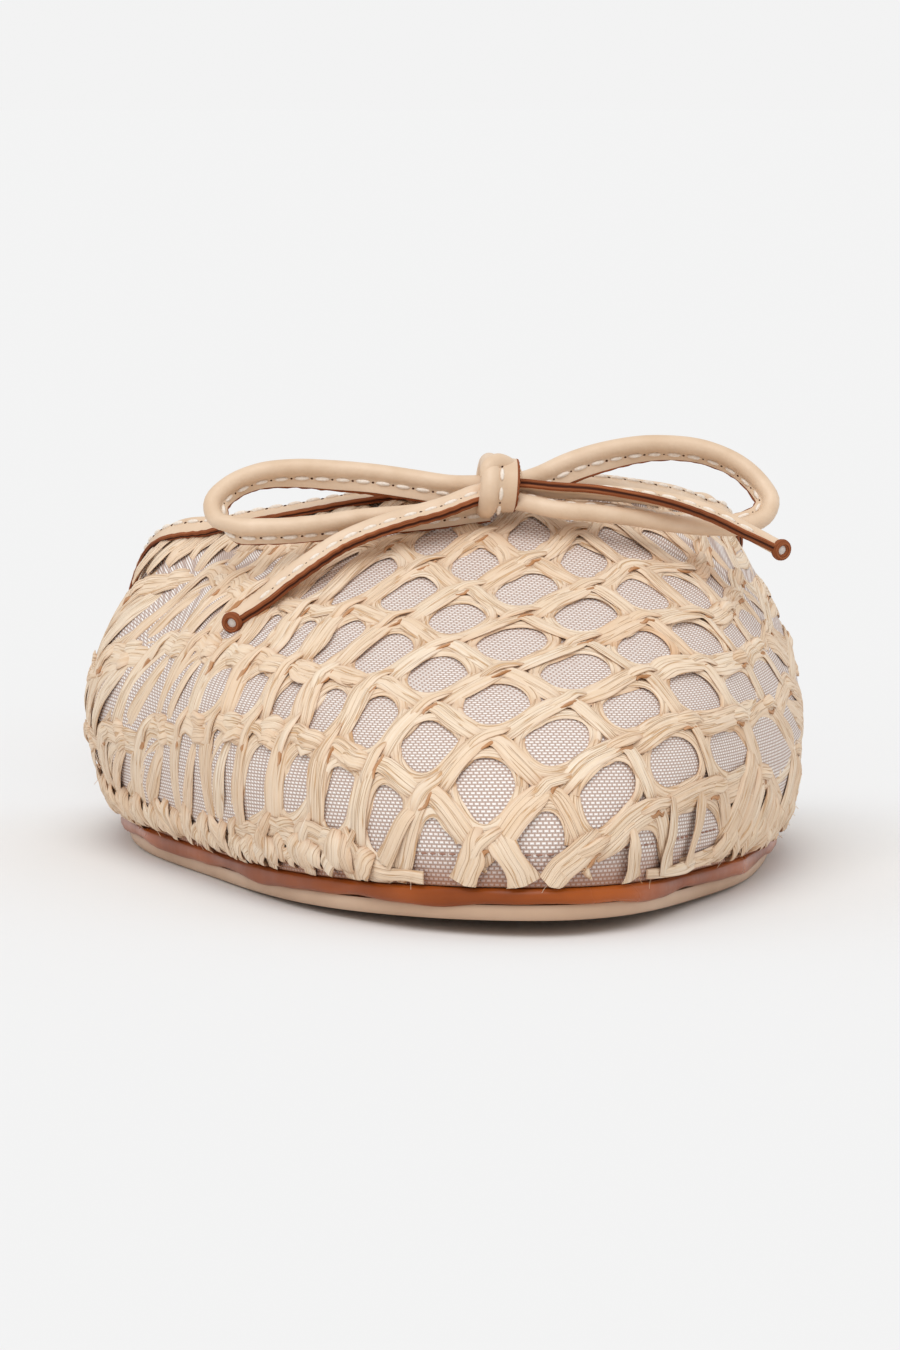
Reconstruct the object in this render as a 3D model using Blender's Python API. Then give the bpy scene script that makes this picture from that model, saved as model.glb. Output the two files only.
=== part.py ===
"""Raffia slip-on sandal for the right foot: a netted vamp with a leather bow on a thin flat sole.

Sizes are in millimetres and every mesh is written in metres. While it is modelled, the toe tip lies
near y = 0, the heel towards +Y, the inner side of the foot towards +X and the floor at z = 0.
"""
import math

import bmesh
import bpy
import numpy as np
from mathutils import Vector
from mathutils.geometry import delaunay_2d_cdt

MM = 0.001
GAP = 0.3

# Plan of the sole: turn is the share of the half turn from the toe tip (0) to the heel (1)
LENGTH = 245.0
PLAN = (
    # turn, outer side x, inner side x
    (0.0, 7.0, 7.0),
    (0.1, -6.0, 17.5),
    (0.2, -18.8, 27.0),
    (0.3, -28.5, 37.8),
    (0.4, -38.0, 42.4),
    (0.5, -35.0, 34.0),
    (0.6, -31.0, 25.5),
    (0.7, -28.5, 25.0),
    (0.8, -24.5, 23.0),
    (0.9, -14.5, 14.0),
    (1.0, 0.0, 0.0),
)

# Side view of the sole
TREAD = 3.5
MIDSOLE = 1.6
INSOLE = 2.2
TOE_SPRING = 2.0
SPRING_END = 60.0
HEEL_RISE = 7.0
RISE_START = 100.0
RISE_END = 190.0
ARCH_LIFT = 5.6
ARCH_START = 106.0
ARCH_END = 172.0
HEEL_FRONT = 180.0
HEEL_BREAST = 4.0
OUTSOLE_INSET = 1.0
OUTSOLE_BEVEL = 0.9
INSOLE_INSET = 3.7
INSOLE_REAR_INSET = 1.2
INSOLE_STEP_START = 0.02
INSOLE_STEP = 0.05
SOLE_STATIONS = 30
SOLE_STRIPS = 8

# Vamp: each rib is a cubic curve from the feather edge up to the topline
RIBS = (
    # turn, topline x, y, z, bulge, bulge height, topline slope, topline pull
    (-0.50, -34.2, 122.0, 9.0, 0.5, 1.2, 80, 0.30),
    (-0.45, -36.0, 103.0, 27.0, 7.0, 10.0, 75, 0.35),
    (-0.40, -34.0, 88.0, 36.5, 10.0, 15.0, 58, 0.38),
    (-0.30, -25.5, 76.5, 40.6, 10.0, 17.0, 38, 0.42),
    (-0.20, -16.5, 71.5, 42.6, 8.0, 18.0, 28, 0.45),
    (-0.10, -6.0, 68.5, 44.6, 6.0, 19.0, 26, 0.48),
    (0.00, 6.0, 66.5, 46.0, 5.0, 20.0, 26, 0.50),
    (0.10, 15.5, 67.5, 45.9, 6.0, 19.0, 27, 0.48),
    (0.20, 25.0, 72.0, 44.4, 8.0, 18.0, 31, 0.45),
    (0.30, 33.0, 79.0, 42.0, 7.0, 14.0, 43, 0.42),
    (0.40, 37.5, 89.0, 37.0, 6.0, 12.0, 62, 0.38),
    (0.45, 37.2, 103.0, 26.0, 4.0, 8.0, 76, 0.35),
    (0.49, 34.5, 117.5, 9.0, 0.5, 1.2, 80, 0.30),
)
RIB_LEAN = 30.0
WALL = 2.5
STRIP_RISE = 1.3
RIB_STEPS = 40
FLAT_FOOT = 6.0
EDGE_POINTS = 66
LINING_STEP = 12.0

# Net: two families of strands, counted along the feather edge and per 10 mm up the wall
NET = (
    # turn, falling count, falling change, rising count, rising change
    (-0.50, -7.6, -0.90, -4.2, 0.45),
    (-0.40, -4.7, -1.00, -4.4, 0.52),
    (-0.30, -1.9, -1.10, -4.6, 0.58),
    (-0.20, 1.0, -1.05, -4.9, 0.57),
    (-0.10, 3.6, -0.90, -4.8, 0.54),
    (0.00, 4.9, -0.82, -3.7, 0.55),
    (0.10, 5.7, -0.80, -2.6, 0.60),
    (0.20, 6.0, -0.95, -1.6, 0.81),
    (0.30, 6.0, -0.92, -0.6, 1.24),
    (0.40, 6.0, -0.72, 0.3, 1.26),
    (0.49, 6.1, -0.50, 1.2, 1.16),
)
NET_UNIT = 10.0
STRAND = 2.5
CORNER = 0.5
WINDOW_FOOT = 1.8
WINDOW_HEAD = 3.4
WINDOW_AREA = 5.0
WINDOW_SIDE = 0.4
WINDOW_END = 0.006

# Topline binding
BULB = 1.9
BULB_INSET = 0.9
FLANGE = 3.0
FLANGE_EDGE = 1.4
BULB_STEPS = 7

# Bow strap: a corded edge with a narrow flange below it
CORD = 1.45
CORD_STEPS = 8
CORD_HEIGHT = 0.6
STRAP_FOOT = -2.1
STRAP_HALF = 0.6
UPRIGHT = (0.0, 0.0, 1.0)
LAID_BACK = (0.0, 0.9, 0.42)
LAID_FLAT = (0.0, 1.0, 0.05)
LOOP_STATIONS = 30
LOOP_LATERAL = (
    # x, y, z
    (3.6, 61.2, 46.2),
    (-6.0, 63.4, 46.4),
    (-14.4, 65.0, 47.5),
    (-22.5, 64.4, 46.7),
    (-27.4, 61.2, 44.1),
    (-22.6, 58.0, 41.2),
    (-15.3, 57.4, 41.3),
    (-8.3, 57.8, 42.5),
    (3.6, 57.4, 45.4),
)
LOOP_MEDIAL = (
    (10.6, 61.2, 46.0),
    (15.5, 62.4, 48.0),
    (19.6, 63.6, 49.8),
    (26.7, 66.0, 50.3),
    (35.5, 65.6, 48.3),
    (40.3, 61.8, 44.4),
    (37.6, 58.4, 42.2),
    (29.9, 56.0, 41.6),
    (19.3, 53.6, 43.0),
    (10.6, 52.8, 44.2),
)
TAIL_STATIONS = 16
TAIL_TIP = 5.0
TAIL_STUB = -0.5
TAIL_CORD = 1.1
TAIL_LATERAL = (
    (3.6, 54.4, 43.2),
    (-4.5, 53.4, 41.9),
    (-11.6, 52.6, 39.5),
    (-17.4, 50.4, 36.6),
    (-22.6, 48.4, 33.1),
    (-25.2, 47.6, 31.6),
)
TAIL_MEDIAL = (
    (10.6, 56.8, 47.2),
    (19.3, 54.9, 47.2),
    (25.3, 53.4, 45.8),
    (31.3, 51.6, 44.2),
    (36.5, 50.6, 41.9),
    (40.6, 50.0, 39.8),
)

# Knot: a rounded block leaning with the vamp
KNOT_CENTRE = (7.1, 56.8, 46.0)
KNOT_HALF = (2.7, 4.8, 3.0)
KNOT_LEAN = 24.0
KNOT_POWER = 4.0
KNOT_SEGMENTS = 18
KNOT_RINGS = 10

COLOURS = {
    # sRGB colour, roughness
    "rubber": ((200, 168, 143), 0.55),
    "edge": ((146, 74, 30), 0.25),
    "footbed": ((222, 198, 172), 0.50),
    "raffia": ((237, 209, 185), 0.70),
    "leather": ((226, 204, 182), 0.42),
}


def spline(knots, values, at):
    """Smooth curve through rows of values at uneven knots."""
    knots = np.asarray(knots, float)
    values = np.asarray(values, float)
    at = np.asarray(at, float)
    span = np.diff(knots)
    slope = np.diff(values, axis=0) / span[:, None]
    tangent = np.empty_like(values)
    tangent[0] = slope[0]
    tangent[-1] = slope[-1]
    weight = (span[1:] + span[:-1])[:, None]
    tangent[1:-1] = (slope[:-1] * span[1:, None] + slope[1:] * span[:-1, None]) / weight
    left = np.clip(np.searchsorted(knots, at) - 1, 0, len(knots) - 2)
    step = span[left][:, None]
    s = (at - knots[left])[:, None] / step
    near = (2 * s**3 - 3 * s**2 + 1) * values[left] + (s**3 - 2 * s**2 + s) * step * tangent[left]
    far = (3 * s**2 - 2 * s**3) * values[left + 1] + (s**3 - s**2) * step * tangent[left + 1]
    return near + far


def table_at(table, at):
    """Interpolate a table whose first column is the knot."""
    rows = np.array(table, float)
    return spline(rows[:, 0], rows[:, 1:], at)


def ease(value):
    """Smooth step from 0 to 1."""
    value = np.clip(value, 0.0, 1.0)
    return value * value * (3.0 - 2.0 * value)


def unit(vectors):
    return vectors / np.linalg.norm(vectors, axis=-1, keepdims=True)


# Sole outline and heights


def feather_edge(turn):
    """Plan point on the sole's edge; a negative turn is the outer side, a positive one the inner."""
    turn = np.asarray(turn, float)
    plan = np.array(PLAN)
    knots = np.concatenate([-plan[:0:-1, 0], plan[:, 0]])
    side = np.concatenate([plan[:0:-1, 1], plan[:, 2]])
    x = spline(knots, side[:, None], turn)[:, 0]
    y = LENGTH * (1.0 - np.cos(math.pi * turn)) / 2.0
    return np.stack([x, y], axis=-1)


def outward(turn):
    """Plan direction pointing away from the sole at its edge."""
    turn = np.asarray(turn, float)
    step = 0.001
    along = unit(feather_edge(turn + step) - feather_edge(turn - step))
    return np.stack([along[:, 1], -along[:, 0]], axis=-1)


def inset_edge(turn, inset):
    turn = np.atleast_1d(np.asarray(turn, float))
    return feather_edge(turn) - outward(turn) * np.reshape(inset, (-1, 1))


def turn_at(y):
    """Turn of the sole's edge at a distance from the toe."""
    return math.acos(1.0 - 2.0 * y / LENGTH) / math.pi


def toe_spring(y):
    return TOE_SPRING * np.clip(1.0 - y / SPRING_END, 0.0, 1.0) ** 2


def foot_height(y):
    """Top of the midsole."""
    return TREAD + toe_spring(y) + HEEL_RISE * ease((y - RISE_START) / (RISE_END - RISE_START))


def underside(y):
    """Bottom of the outsole: forefoot and heel stand on the floor, toe and waist are lifted."""
    waist = ARCH_LIFT * ease((y - ARCH_START) / (ARCH_END - ARCH_START))
    heel = 1.0 - np.clip((y - HEEL_FRONT) / HEEL_BREAST, 0.0, 1.0)
    return toe_spring(y) + waist * heel


# Vamp surface


def rib_points(turn, share):
    """Points at each share of each rib, one row to a rib."""
    turn = np.asarray(turn, float)
    rows = table_at(RIBS, turn)
    foot_plan = feather_edge(turn)
    away = outward(turn)
    foot = np.column_stack([foot_plan, foot_height(foot_plan[:, 1]) + GAP])
    top = rows[:, :3]
    low_handle = foot + np.column_stack([away * rows[:, 3:4], rows[:, 4]])
    back = foot_plan - top[:, :2]
    reach = np.linalg.norm(back, axis=1, keepdims=True)
    lean = unit(away + back / np.maximum(RIB_LEAN, reach))
    slope = np.radians(rows[:, 5:6])
    pull = rows[:, 6:7] * np.linalg.norm(top - foot, axis=1, keepdims=True)
    high_handle = top + np.hstack([lean * np.cos(slope), -np.sin(slope)]) * pull
    s = np.asarray(share, float)[None, :, None]
    curve = (1 - s) ** 3 * foot[:, None] + 3 * (1 - s) ** 2 * s * low_handle[:, None]
    return curve + 3 * (1 - s) * s**2 * high_handle[:, None] + s**3 * top[:, None]


def rib_lengths(points):
    steps = np.linalg.norm(np.diff(points, axis=1), axis=2)
    return np.hstack([np.zeros((len(points), 1)), np.cumsum(steps, axis=1)])


def rib_length(turn):
    """Length of each rib from the feather edge to the topline."""
    return rib_lengths(rib_points(turn, np.linspace(0, 1, RIB_STEPS + 1)))[:, -1]


def wall_points(turn, rise):
    """Points on the vamp's outer face, rise being the length up the rib."""
    points = rib_points(turn, np.linspace(0, 1, RIB_STEPS + 1))
    lengths = rib_lengths(points)
    out = np.empty((len(points), 3))
    for row in range(len(points)):
        for axis in range(3):
            out[row, axis] = np.interp(rise[row], lengths[row], points[row, :, axis])
    return out


def wall_normals(turn, rise):
    """Outward directions of the vamp, level at the feather edge so that the wall stands flat."""
    turn = np.asarray(turn, float)
    rise = np.asarray(rise, float)
    length = rib_length(turn)
    middle = np.clip(rise, 0.5, length - 0.5)
    across = wall_points(turn + 0.004, middle) - wall_points(turn - 0.004, middle)
    upward = wall_points(turn, middle + 0.4) - wall_points(turn, middle - 0.4)
    normal = unit(np.cross(across, upward))
    level = normal.copy()
    level[:, 2] = 0.0
    blend = ease(rise / FLAT_FOOT)[:, None]
    return unit(unit(level) * (1.0 - blend) + normal * blend)


# Net pattern


def strand_counts(turn, rise):
    """Position between the falling and the rising strands; whole numbers lie on a strand."""
    rows = table_at(NET, turn)
    up = rise / NET_UNIT
    return np.column_stack([rows[:, 0] + rows[:, 1] * up, rows[:, 2] + rows[:, 3] * up])


def place_on_net(counts, turn, rise):
    """Turn and rise where the net has the given strand counts, from a nearby start."""
    for _ in range(12):
        here = strand_counts(turn, rise)
        by_turn = (strand_counts(turn + 1e-4, rise) - here) / 1e-4
        by_rise = (strand_counts(turn, rise + 1e-3) - here) / 1e-3
        miss = counts - here
        area = by_turn[:, 0] * by_rise[:, 1] - by_turn[:, 1] * by_rise[:, 0]
        turn = turn + np.clip((miss[:, 0] * by_rise[:, 1] - miss[:, 1] * by_rise[:, 0]) / area, -0.02, 0.02)
        rise = rise + np.clip((by_turn[:, 0] * miss[:, 1] - by_turn[:, 1] * miss[:, 0]) / area, -4.0, 4.0)
    return turn, rise


def strand_pitch(turn, rise):
    """Distance in millimetres between neighbouring strands of each family."""
    here = strand_counts(turn, rise)
    by_turn = (strand_counts(turn + 1e-3, rise) - here) / 1e-3
    by_rise = (strand_counts(turn, rise + 0.1) - here) / 0.1
    go_turn = (wall_points(turn + 1e-3, rise) - wall_points(turn - 1e-3, rise)) / 2e-3
    go_rise = (wall_points(turn, rise + 0.2) - wall_points(turn, rise - 0.2)) / 0.4
    e = np.sum(go_turn * go_turn, axis=1)
    f = np.sum(go_turn * go_rise, axis=1)
    g = np.sum(go_rise * go_rise, axis=1)
    pitch = []
    for family in range(2):
        a = by_turn[:, family]
        b = by_rise[:, family]
        steepness = (a * a * g - 2 * a * b * f + b * b * e) / (e * g - f * f)
        pitch.append(1.0 / np.sqrt(steepness))
    return np.column_stack(pitch)


def net_windows():
    """Gaps of the net as rings of (turn, rise) corners."""
    first, last = RIBS[0][0], RIBS[-1][0]
    turns, shares = np.meshgrid(np.linspace(first, last, 200), np.linspace(0.03, 0.97, 40), indexing="ij")
    turns = turns.ravel()
    rises = shares.ravel() * rib_length(turns)
    counts = strand_counts(turns, rises)
    cells = np.unique(np.floor(counts), axis=0) + 0.5
    nearest = [np.argmin(np.sum((counts - cell) ** 2, axis=1)) for cell in cells]
    turn, rise = place_on_net(cells, turns[nearest], rises[nearest])
    inside = (turn > first + 0.012) & (turn < last - 0.012)
    inside &= (rise > 0.0) & (rise < rib_length(np.clip(turn, first, last)))
    cells, turn, rise = cells[inside], turn[inside], rise[inside]
    half = 0.5 - STRAND / 2.0 / strand_pitch(turn, rise)
    windows = []
    signs = ((1, CORNER), (CORNER, 1), (-CORNER, 1), (-1, CORNER))
    signs += tuple((-a, -b) for a, b in signs)
    for cell, room, start_turn, start_rise in zip(cells, half, turn, rise):
        if min(room) < 0.1:
            continue
        goal = cell + np.array(signs) * room
        ring = np.column_stack(place_on_net(goal, np.full(8, start_turn), np.full(8, start_rise)))
        ring = clip_ring(ring, ring[:, 1] - WINDOW_FOOT)
        ring = clip_ring(ring, rib_length(ring[:, 0]) - WINDOW_HEAD - ring[:, 1])
        ring = clip_ring(ring, ring[:, 0] - first - WINDOW_END)
        ring = clip_ring(ring, last - WINDOW_END - ring[:, 0])
        if len(ring) < 3:
            continue
        corners = wall_points(ring[:, 0], ring[:, 1])
        keep = np.linalg.norm(corners - np.roll(corners, 1, axis=0), axis=1) > WINDOW_SIDE
        ring, corners = ring[keep], corners[keep]
        spokes = corners - corners.mean(axis=0)
        area = np.linalg.norm(np.cross(spokes, np.roll(spokes, -1, axis=0)).sum(axis=0)) / 2.0
        if area > WINDOW_AREA:
            windows.append(ring)
    return windows


def clip_ring(ring, room):
    """Part of a ring of points where room, a value at each point, stays positive."""
    kept = []
    for i in range(len(ring)):
        here, there = room[i - 1], room[i]
        if (here > 0.0) != (there > 0.0):
            kept.append(ring[i - 1] + (ring[i] - ring[i - 1]) * here / (here - there))
        if there > 0.0:
            kept.append(ring[i])
    return np.array(kept).reshape(-1, 2)


# Mesh helpers


def finish(name, vertices, faces, colour, sharp=40.0):
    """Make a named object from millimetre vertices, with its faces pointing out."""
    mesh = bpy.data.meshes.new(name)
    mesh.from_pydata([tuple(MM * float(c) for c in v) for v in vertices], [], faces)
    shell = bmesh.new()
    shell.from_mesh(mesh)
    bmesh.ops.recalc_face_normals(shell, faces=shell.faces)
    shell.to_mesh(mesh)
    shell.free()
    mesh.shade_smooth()
    mesh.set_sharp_from_angle(angle=math.radians(sharp))
    mesh.materials.append(material(colour))
    piece = bpy.data.objects.new(name, mesh)
    bpy.context.scene.collection.objects.link(piece)
    return piece


def material(name):
    found = bpy.data.materials.get(name)
    if found:
        return found
    colour, roughness = COLOURS[name]
    made = bpy.data.materials.new(name)
    made.use_nodes = True
    shader = made.node_tree.nodes["Principled BSDF"]
    linear = [((c / 255.0 + 0.055) / 1.055) ** 2.4 for c in colour]
    shader.inputs["Base Color"].default_value = (*linear, 1.0)
    shader.inputs["Roughness"].default_value = roughness
    shader.inputs["Metallic"].default_value = 0.0
    return made


def sweep(name, rings, colour):
    """Closed solid through rings of equal size, with flat ends."""
    size = len(rings[0])
    vertices = np.concatenate(rings)
    faces = []
    for row in range(len(rings) - 1):
        for side in range(size):
            a = row * size + side
            b = row * size + (side + 1) % size
            faces.append((a, b, b + size, a + size))
    faces.append(tuple(range(size))[::-1])
    faces.append(tuple(range(len(vertices) - size, len(vertices))))
    return finish(name, vertices, faces, colour)


def plate(name, insets, top, under, colour):
    """Layer of the sole; insets gives the top and the bottom inset at a turn."""
    turns = [i / SOLE_STATIONS for i in range(1, SOLE_STATIONS)]
    turns += [turn_at(y) for y in (ARCH_START, HEEL_FRONT, HEEL_FRONT + HEEL_BREAST)]
    turns = sorted(turns)
    across = np.linspace(0.0, 1.0, SOLE_STRIPS + 1)
    vertices = []
    faces = []
    layers = []
    for level, height in ((0, top), (1, under)):
        rows = [inset_edge(0.0, insets(0.0)[level])]
        for turn in turns:
            inset = insets(turn)[level]
            ends = inset_edge((-turn, turn), (inset, inset))
            rows.append(ends[0] + (ends[1] - ends[0]) * across[:, None])
        rows.append(inset_edge(1.0, insets(1.0)[level]))
        index = []
        for row in rows:
            index.append(list(range(len(vertices), len(vertices) + len(row))))
            vertices.extend(np.column_stack([row, height(row[:, 1])]))
        layers.append(index)
    for index in layers:
        for here, there in zip(index, index[1:]):
            for j in range(SOLE_STRIPS):
                if len(here) == 1:
                    faces.append((here[0], there[j], there[j + 1]))
                elif len(there) == 1:
                    faces.append((here[j + 1], here[j], there[0]))
                else:
                    faces.append((here[j], there[j], there[j + 1], here[j + 1]))
    for upper_rows, lower_rows in zip(zip(layers[0], layers[0][1:]), zip(layers[1], layers[1][1:])):
        for end in (0, -1):
            faces.append((upper_rows[0][end], upper_rows[1][end], lower_rows[1][end], lower_rows[0][end]))
    return finish(name, vertices, faces, colour)


# Sub-parts


def make_outsole():
    def top(y):
        return foot_height(y) - MIDSOLE - GAP

    def insets(turn):
        return OUTSOLE_INSET, OUTSOLE_INSET + OUTSOLE_BEVEL

    return plate("outsole", insets, top, underside, "rubber")


def make_midsole():
    def under(y):
        return foot_height(y) - MIDSOLE

    return plate("midsole", lambda turn: (0.0, 0.0), foot_height, under, "edge")


def make_insole():
    wing = RIBS[-1][0]

    def insets(turn):
        behind = float(ease((turn - wing - INSOLE_STEP_START) / INSOLE_STEP))
        inset = INSOLE_INSET + (INSOLE_REAR_INSET - INSOLE_INSET) * behind
        return inset, inset

    def under(y):
        return foot_height(y) + GAP

    def top(y):
        return foot_height(y) + GAP + INSOLE

    return plate("insole", insets, top, under, "footbed")


def triangulate(points, ring, holes):
    """Triangles inside a ring of flat points, each with the number of the hole that it fills or None."""
    flat = [Vector((float(u), float(v))) for u, v in points]
    edges = [(ring[i - 1], ring[i]) for i in range(len(ring))]
    result = delaunay_2d_cdt(flat, edges, holes, 0, 1e-5)
    source = [origins[0] for origins in result[3]]
    outline = np.array([points[i] for i in ring])
    half = len(ring) // 2
    crest = outline[half:][::-1]
    triangles = []
    for face, owners in zip(result[2], result[5]):
        corners = [source[i] for i in face]
        u, v = np.mean([points[i] for i in corners], axis=0)
        if 0.0 < v < np.interp(u, crest[:, 0], crest[:, 1]):
            triangles.append((corners, owners[0] if owners else None))
    return triangles


def edge_run():
    """Turns along the vamp's feather edge and the length of edge up to each."""
    turn = np.linspace(RIBS[0][0], RIBS[-1][0], 400)
    steps = np.linalg.norm(np.diff(feather_edge(turn), axis=0), axis=1)
    return turn, np.concatenate([[0.0], np.cumsum(steps)])


def edge_turns():
    """Turns of the stations that the vamp's wall and its binding share."""
    turn, run = edge_run()
    return np.interp(np.linspace(0.0, run[-1], EDGE_POINTS), run, turn)


def make_upper():
    """Hollow vamp: a lining wall with the net of strips raised on it."""
    fine, run = edge_run()
    edge_turn = edge_turns()
    edge_length = rib_length(edge_turn)
    rim = [(t, 0.0) for t in edge_turn] + list(zip(edge_turn[::-1], edge_length[::-1]))
    ring = list(range(len(rim)))

    outer = list(rim)
    holes = []
    for window in net_windows():
        holes.append(list(range(len(outer), len(outer) + len(window))))
        outer.extend(map(tuple, window))
    outer = np.array(outer)
    flat = np.column_stack([np.interp(outer[:, 0], fine, run), outer[:, 1]])
    normal = wall_normals(outer[:, 0], outer[:, 1])
    high = wall_points(outer[:, 0], outer[:, 1])
    low = high - normal * STRIP_RISE
    faces = []
    for corners, hole in triangulate(flat, ring, holes):
        faces.append([c + (0 if hole is None else len(high)) for c in corners])
    for hole in holes:
        for here, there in zip(hole, hole[1:] + hole[:1]):
            faces.append([here, there, there + len(high), here + len(high)])

    inner = list(rim)
    for u in np.arange(LINING_STEP, run[-1], LINING_STEP):
        turn = float(np.interp(u, run, fine))
        length = float(rib_length(np.array([turn]))[0])
        count = int(length / LINING_STEP)
        inner.extend((turn, length * (i + 1) / (count + 1)) for i in range(count))
    inner = np.array(inner)
    flat = np.column_stack([np.interp(inner[:, 0], fine, run), inner[:, 1]])
    base = len(high) + len(low)
    inside = wall_points(inner[:, 0], inner[:, 1])
    inside = inside - wall_normals(inner[:, 0], inner[:, 1]) * WALL
    for corners, _ in triangulate(flat, ring, []):
        faces.append([c + base for c in corners])
    for here, there in zip(ring, ring[1:] + ring[:1]):
        faces.append([here, there, there + base, here + base])

    vertices = np.concatenate([high, low, inside])
    used = sorted({c for face in faces for c in face})
    place = {old: new for new, old in enumerate(used)}
    return finish("upper", vertices[used], [[place[c] for c in face] for face in faces], "raffia", 30.0)


def make_binding():
    """Corded binding on the topline: the cord sits on the rim and its flange lies outside the wall."""
    turn = edge_turns()
    length = rib_length(turn)
    rim = wall_points(turn, length)
    out = wall_normals(turn, length)
    up = unit(rim - wall_points(turn, length - 0.5))
    up = unit(up - out * np.sum(up * out, axis=1, keepdims=True))
    arc = np.radians(np.linspace(10.0, 255.0, BULB_STEPS))
    section = [(FLANGE_EDGE, -FLANGE), (FLANGE_EDGE, BULB / 2.0)]
    section += [(BULB * math.cos(a) - BULB_INSET, BULB * math.sin(a) + BULB + GAP) for a in arc]
    section += [(GAP, GAP), (GAP, -FLANGE)]
    section = np.array(section)
    rings = [r + section[:, :1] * o + section[:, 1:] * u for r, o, u in zip(rim, out, up)]
    return sweep("topline_binding", rings, "leather")


def path_points(controls, count):
    """Evenly spaced points on a smooth curve through control points, with their directions."""
    controls = np.array(controls, float)
    knots = np.concatenate([[0.0], np.cumsum(np.linalg.norm(np.diff(controls, axis=0), axis=1))])
    at = np.linspace(0.0, knots[-1], count)
    step = knots[-1] * 0.001
    ahead = spline(knots, controls, np.minimum(at + step, knots[-1]))
    behind = spline(knots, controls, np.maximum(at - step, 0.0))
    return at, spline(knots, controls, at), unit(ahead - behind)


def strap_section(cord, foot):
    """Section of the strap as (across, up) points: a flat flange with a cord along its top."""
    start = math.acos(STRAP_HALF / cord)
    arc = np.linspace(-start, math.pi + start, CORD_STEPS)
    section = [(-STRAP_HALF, foot), (STRAP_HALF, foot)]
    section += [(cord * math.cos(a), cord * math.sin(a) + CORD_HEIGHT) for a in arc]
    return np.array(section)


def make_strap(name, controls, count, cord, upright, tip=0.0):
    """Strap along a path; near its free tip the flange is cut away at a slant."""
    at, points, along = path_points(controls, count)
    rings = []
    for run, point, direction in zip(at, points, along):
        side = unit(np.cross(direction, upright))
        up = np.cross(side, direction)
        foot = STRAP_FOOT
        if tip:
            cut = float(np.clip(1.0 - (at[-1] - run) / tip, 0.0, 1.0))
            foot += (TAIL_STUB - STRAP_FOOT) * cut
        section = strap_section(cord, foot)
        rings.append(point + section[:, :1] * side + section[:, 1:] * up)
    return sweep(name, rings, "leather")


def make_knot():
    """Rounded block that wraps the four strands of the bow."""
    ball = bmesh.new()
    bmesh.ops.create_uvsphere(ball, u_segments=KNOT_SEGMENTS, v_segments=KNOT_RINGS, radius=1.0)
    vertices = []
    for vertex in ball.verts:
        swell = sum(abs(c) ** KNOT_POWER for c in vertex.co) ** (1.0 / KNOT_POWER)
        vertices.append([c / swell * h for c, h in zip(vertex.co, KNOT_HALF)])
    faces = [[v.index for v in face.verts] for face in ball.faces]
    ball.free()
    piece = finish("bow_knot", vertices, faces, "leather")
    piece.location = [MM * c for c in KNOT_CENTRE]
    piece.rotation_euler = (math.radians(KNOT_LEAN), 0.0, 0.0)
    return piece


def stand_on_origin(pieces):
    """Hang the pieces on an empty so that the middle of their bounds stands on the origin."""
    bpy.context.view_layer.update()
    corners = [piece.matrix_world @ v.co for piece in pieces for v in piece.data.vertices]
    low = [min(c[axis] for c in corners) for axis in range(3)]
    high = [max(c[axis] for c in corners) for axis in range(3)]
    shoe = bpy.data.objects.new("shoe", None)
    bpy.context.scene.collection.objects.link(shoe)
    shoe.location = (-(low[0] + high[0]) / 2.0, -(low[1] + high[1]) / 2.0, -low[2])
    for piece in pieces:
        piece.parent = shoe


def main():
    for item in list(bpy.data.objects):
        bpy.data.objects.remove(item, do_unlink=True)
    pieces = [make_outsole(), make_midsole(), make_insole(), make_upper(), make_binding()]
    pieces.append(make_strap("bow_loop_lateral", LOOP_LATERAL, LOOP_STATIONS, CORD, UPRIGHT))
    pieces.append(make_strap("bow_loop_medial", LOOP_MEDIAL, LOOP_STATIONS, CORD, UPRIGHT))
    pieces.append(make_strap("bow_tail_lateral", TAIL_LATERAL, TAIL_STATIONS, TAIL_CORD, LAID_BACK, TAIL_TIP))
    pieces.append(make_strap("bow_tail_medial", TAIL_MEDIAL, TAIL_STATIONS, TAIL_CORD, LAID_FLAT, TAIL_TIP))
    pieces.append(make_knot())
    stand_on_origin(pieces)


main()
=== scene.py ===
import math

import bmesh
import bpy
import numpy as np
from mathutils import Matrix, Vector


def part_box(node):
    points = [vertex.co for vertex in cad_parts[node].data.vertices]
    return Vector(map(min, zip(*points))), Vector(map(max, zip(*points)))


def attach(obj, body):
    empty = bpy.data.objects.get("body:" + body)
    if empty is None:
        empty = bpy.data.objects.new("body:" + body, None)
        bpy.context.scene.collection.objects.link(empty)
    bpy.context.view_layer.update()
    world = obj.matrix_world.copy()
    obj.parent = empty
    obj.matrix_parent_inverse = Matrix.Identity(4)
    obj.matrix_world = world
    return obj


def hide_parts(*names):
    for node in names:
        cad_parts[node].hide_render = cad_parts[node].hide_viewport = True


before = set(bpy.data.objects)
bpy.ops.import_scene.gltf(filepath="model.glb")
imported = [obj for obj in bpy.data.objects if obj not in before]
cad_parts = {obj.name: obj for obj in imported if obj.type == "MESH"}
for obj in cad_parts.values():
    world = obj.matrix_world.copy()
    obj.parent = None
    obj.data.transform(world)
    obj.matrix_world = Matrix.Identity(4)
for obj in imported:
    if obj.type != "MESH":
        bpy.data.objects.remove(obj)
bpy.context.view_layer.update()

mm = 0.001
rng = np.random.default_rng(38)

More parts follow.
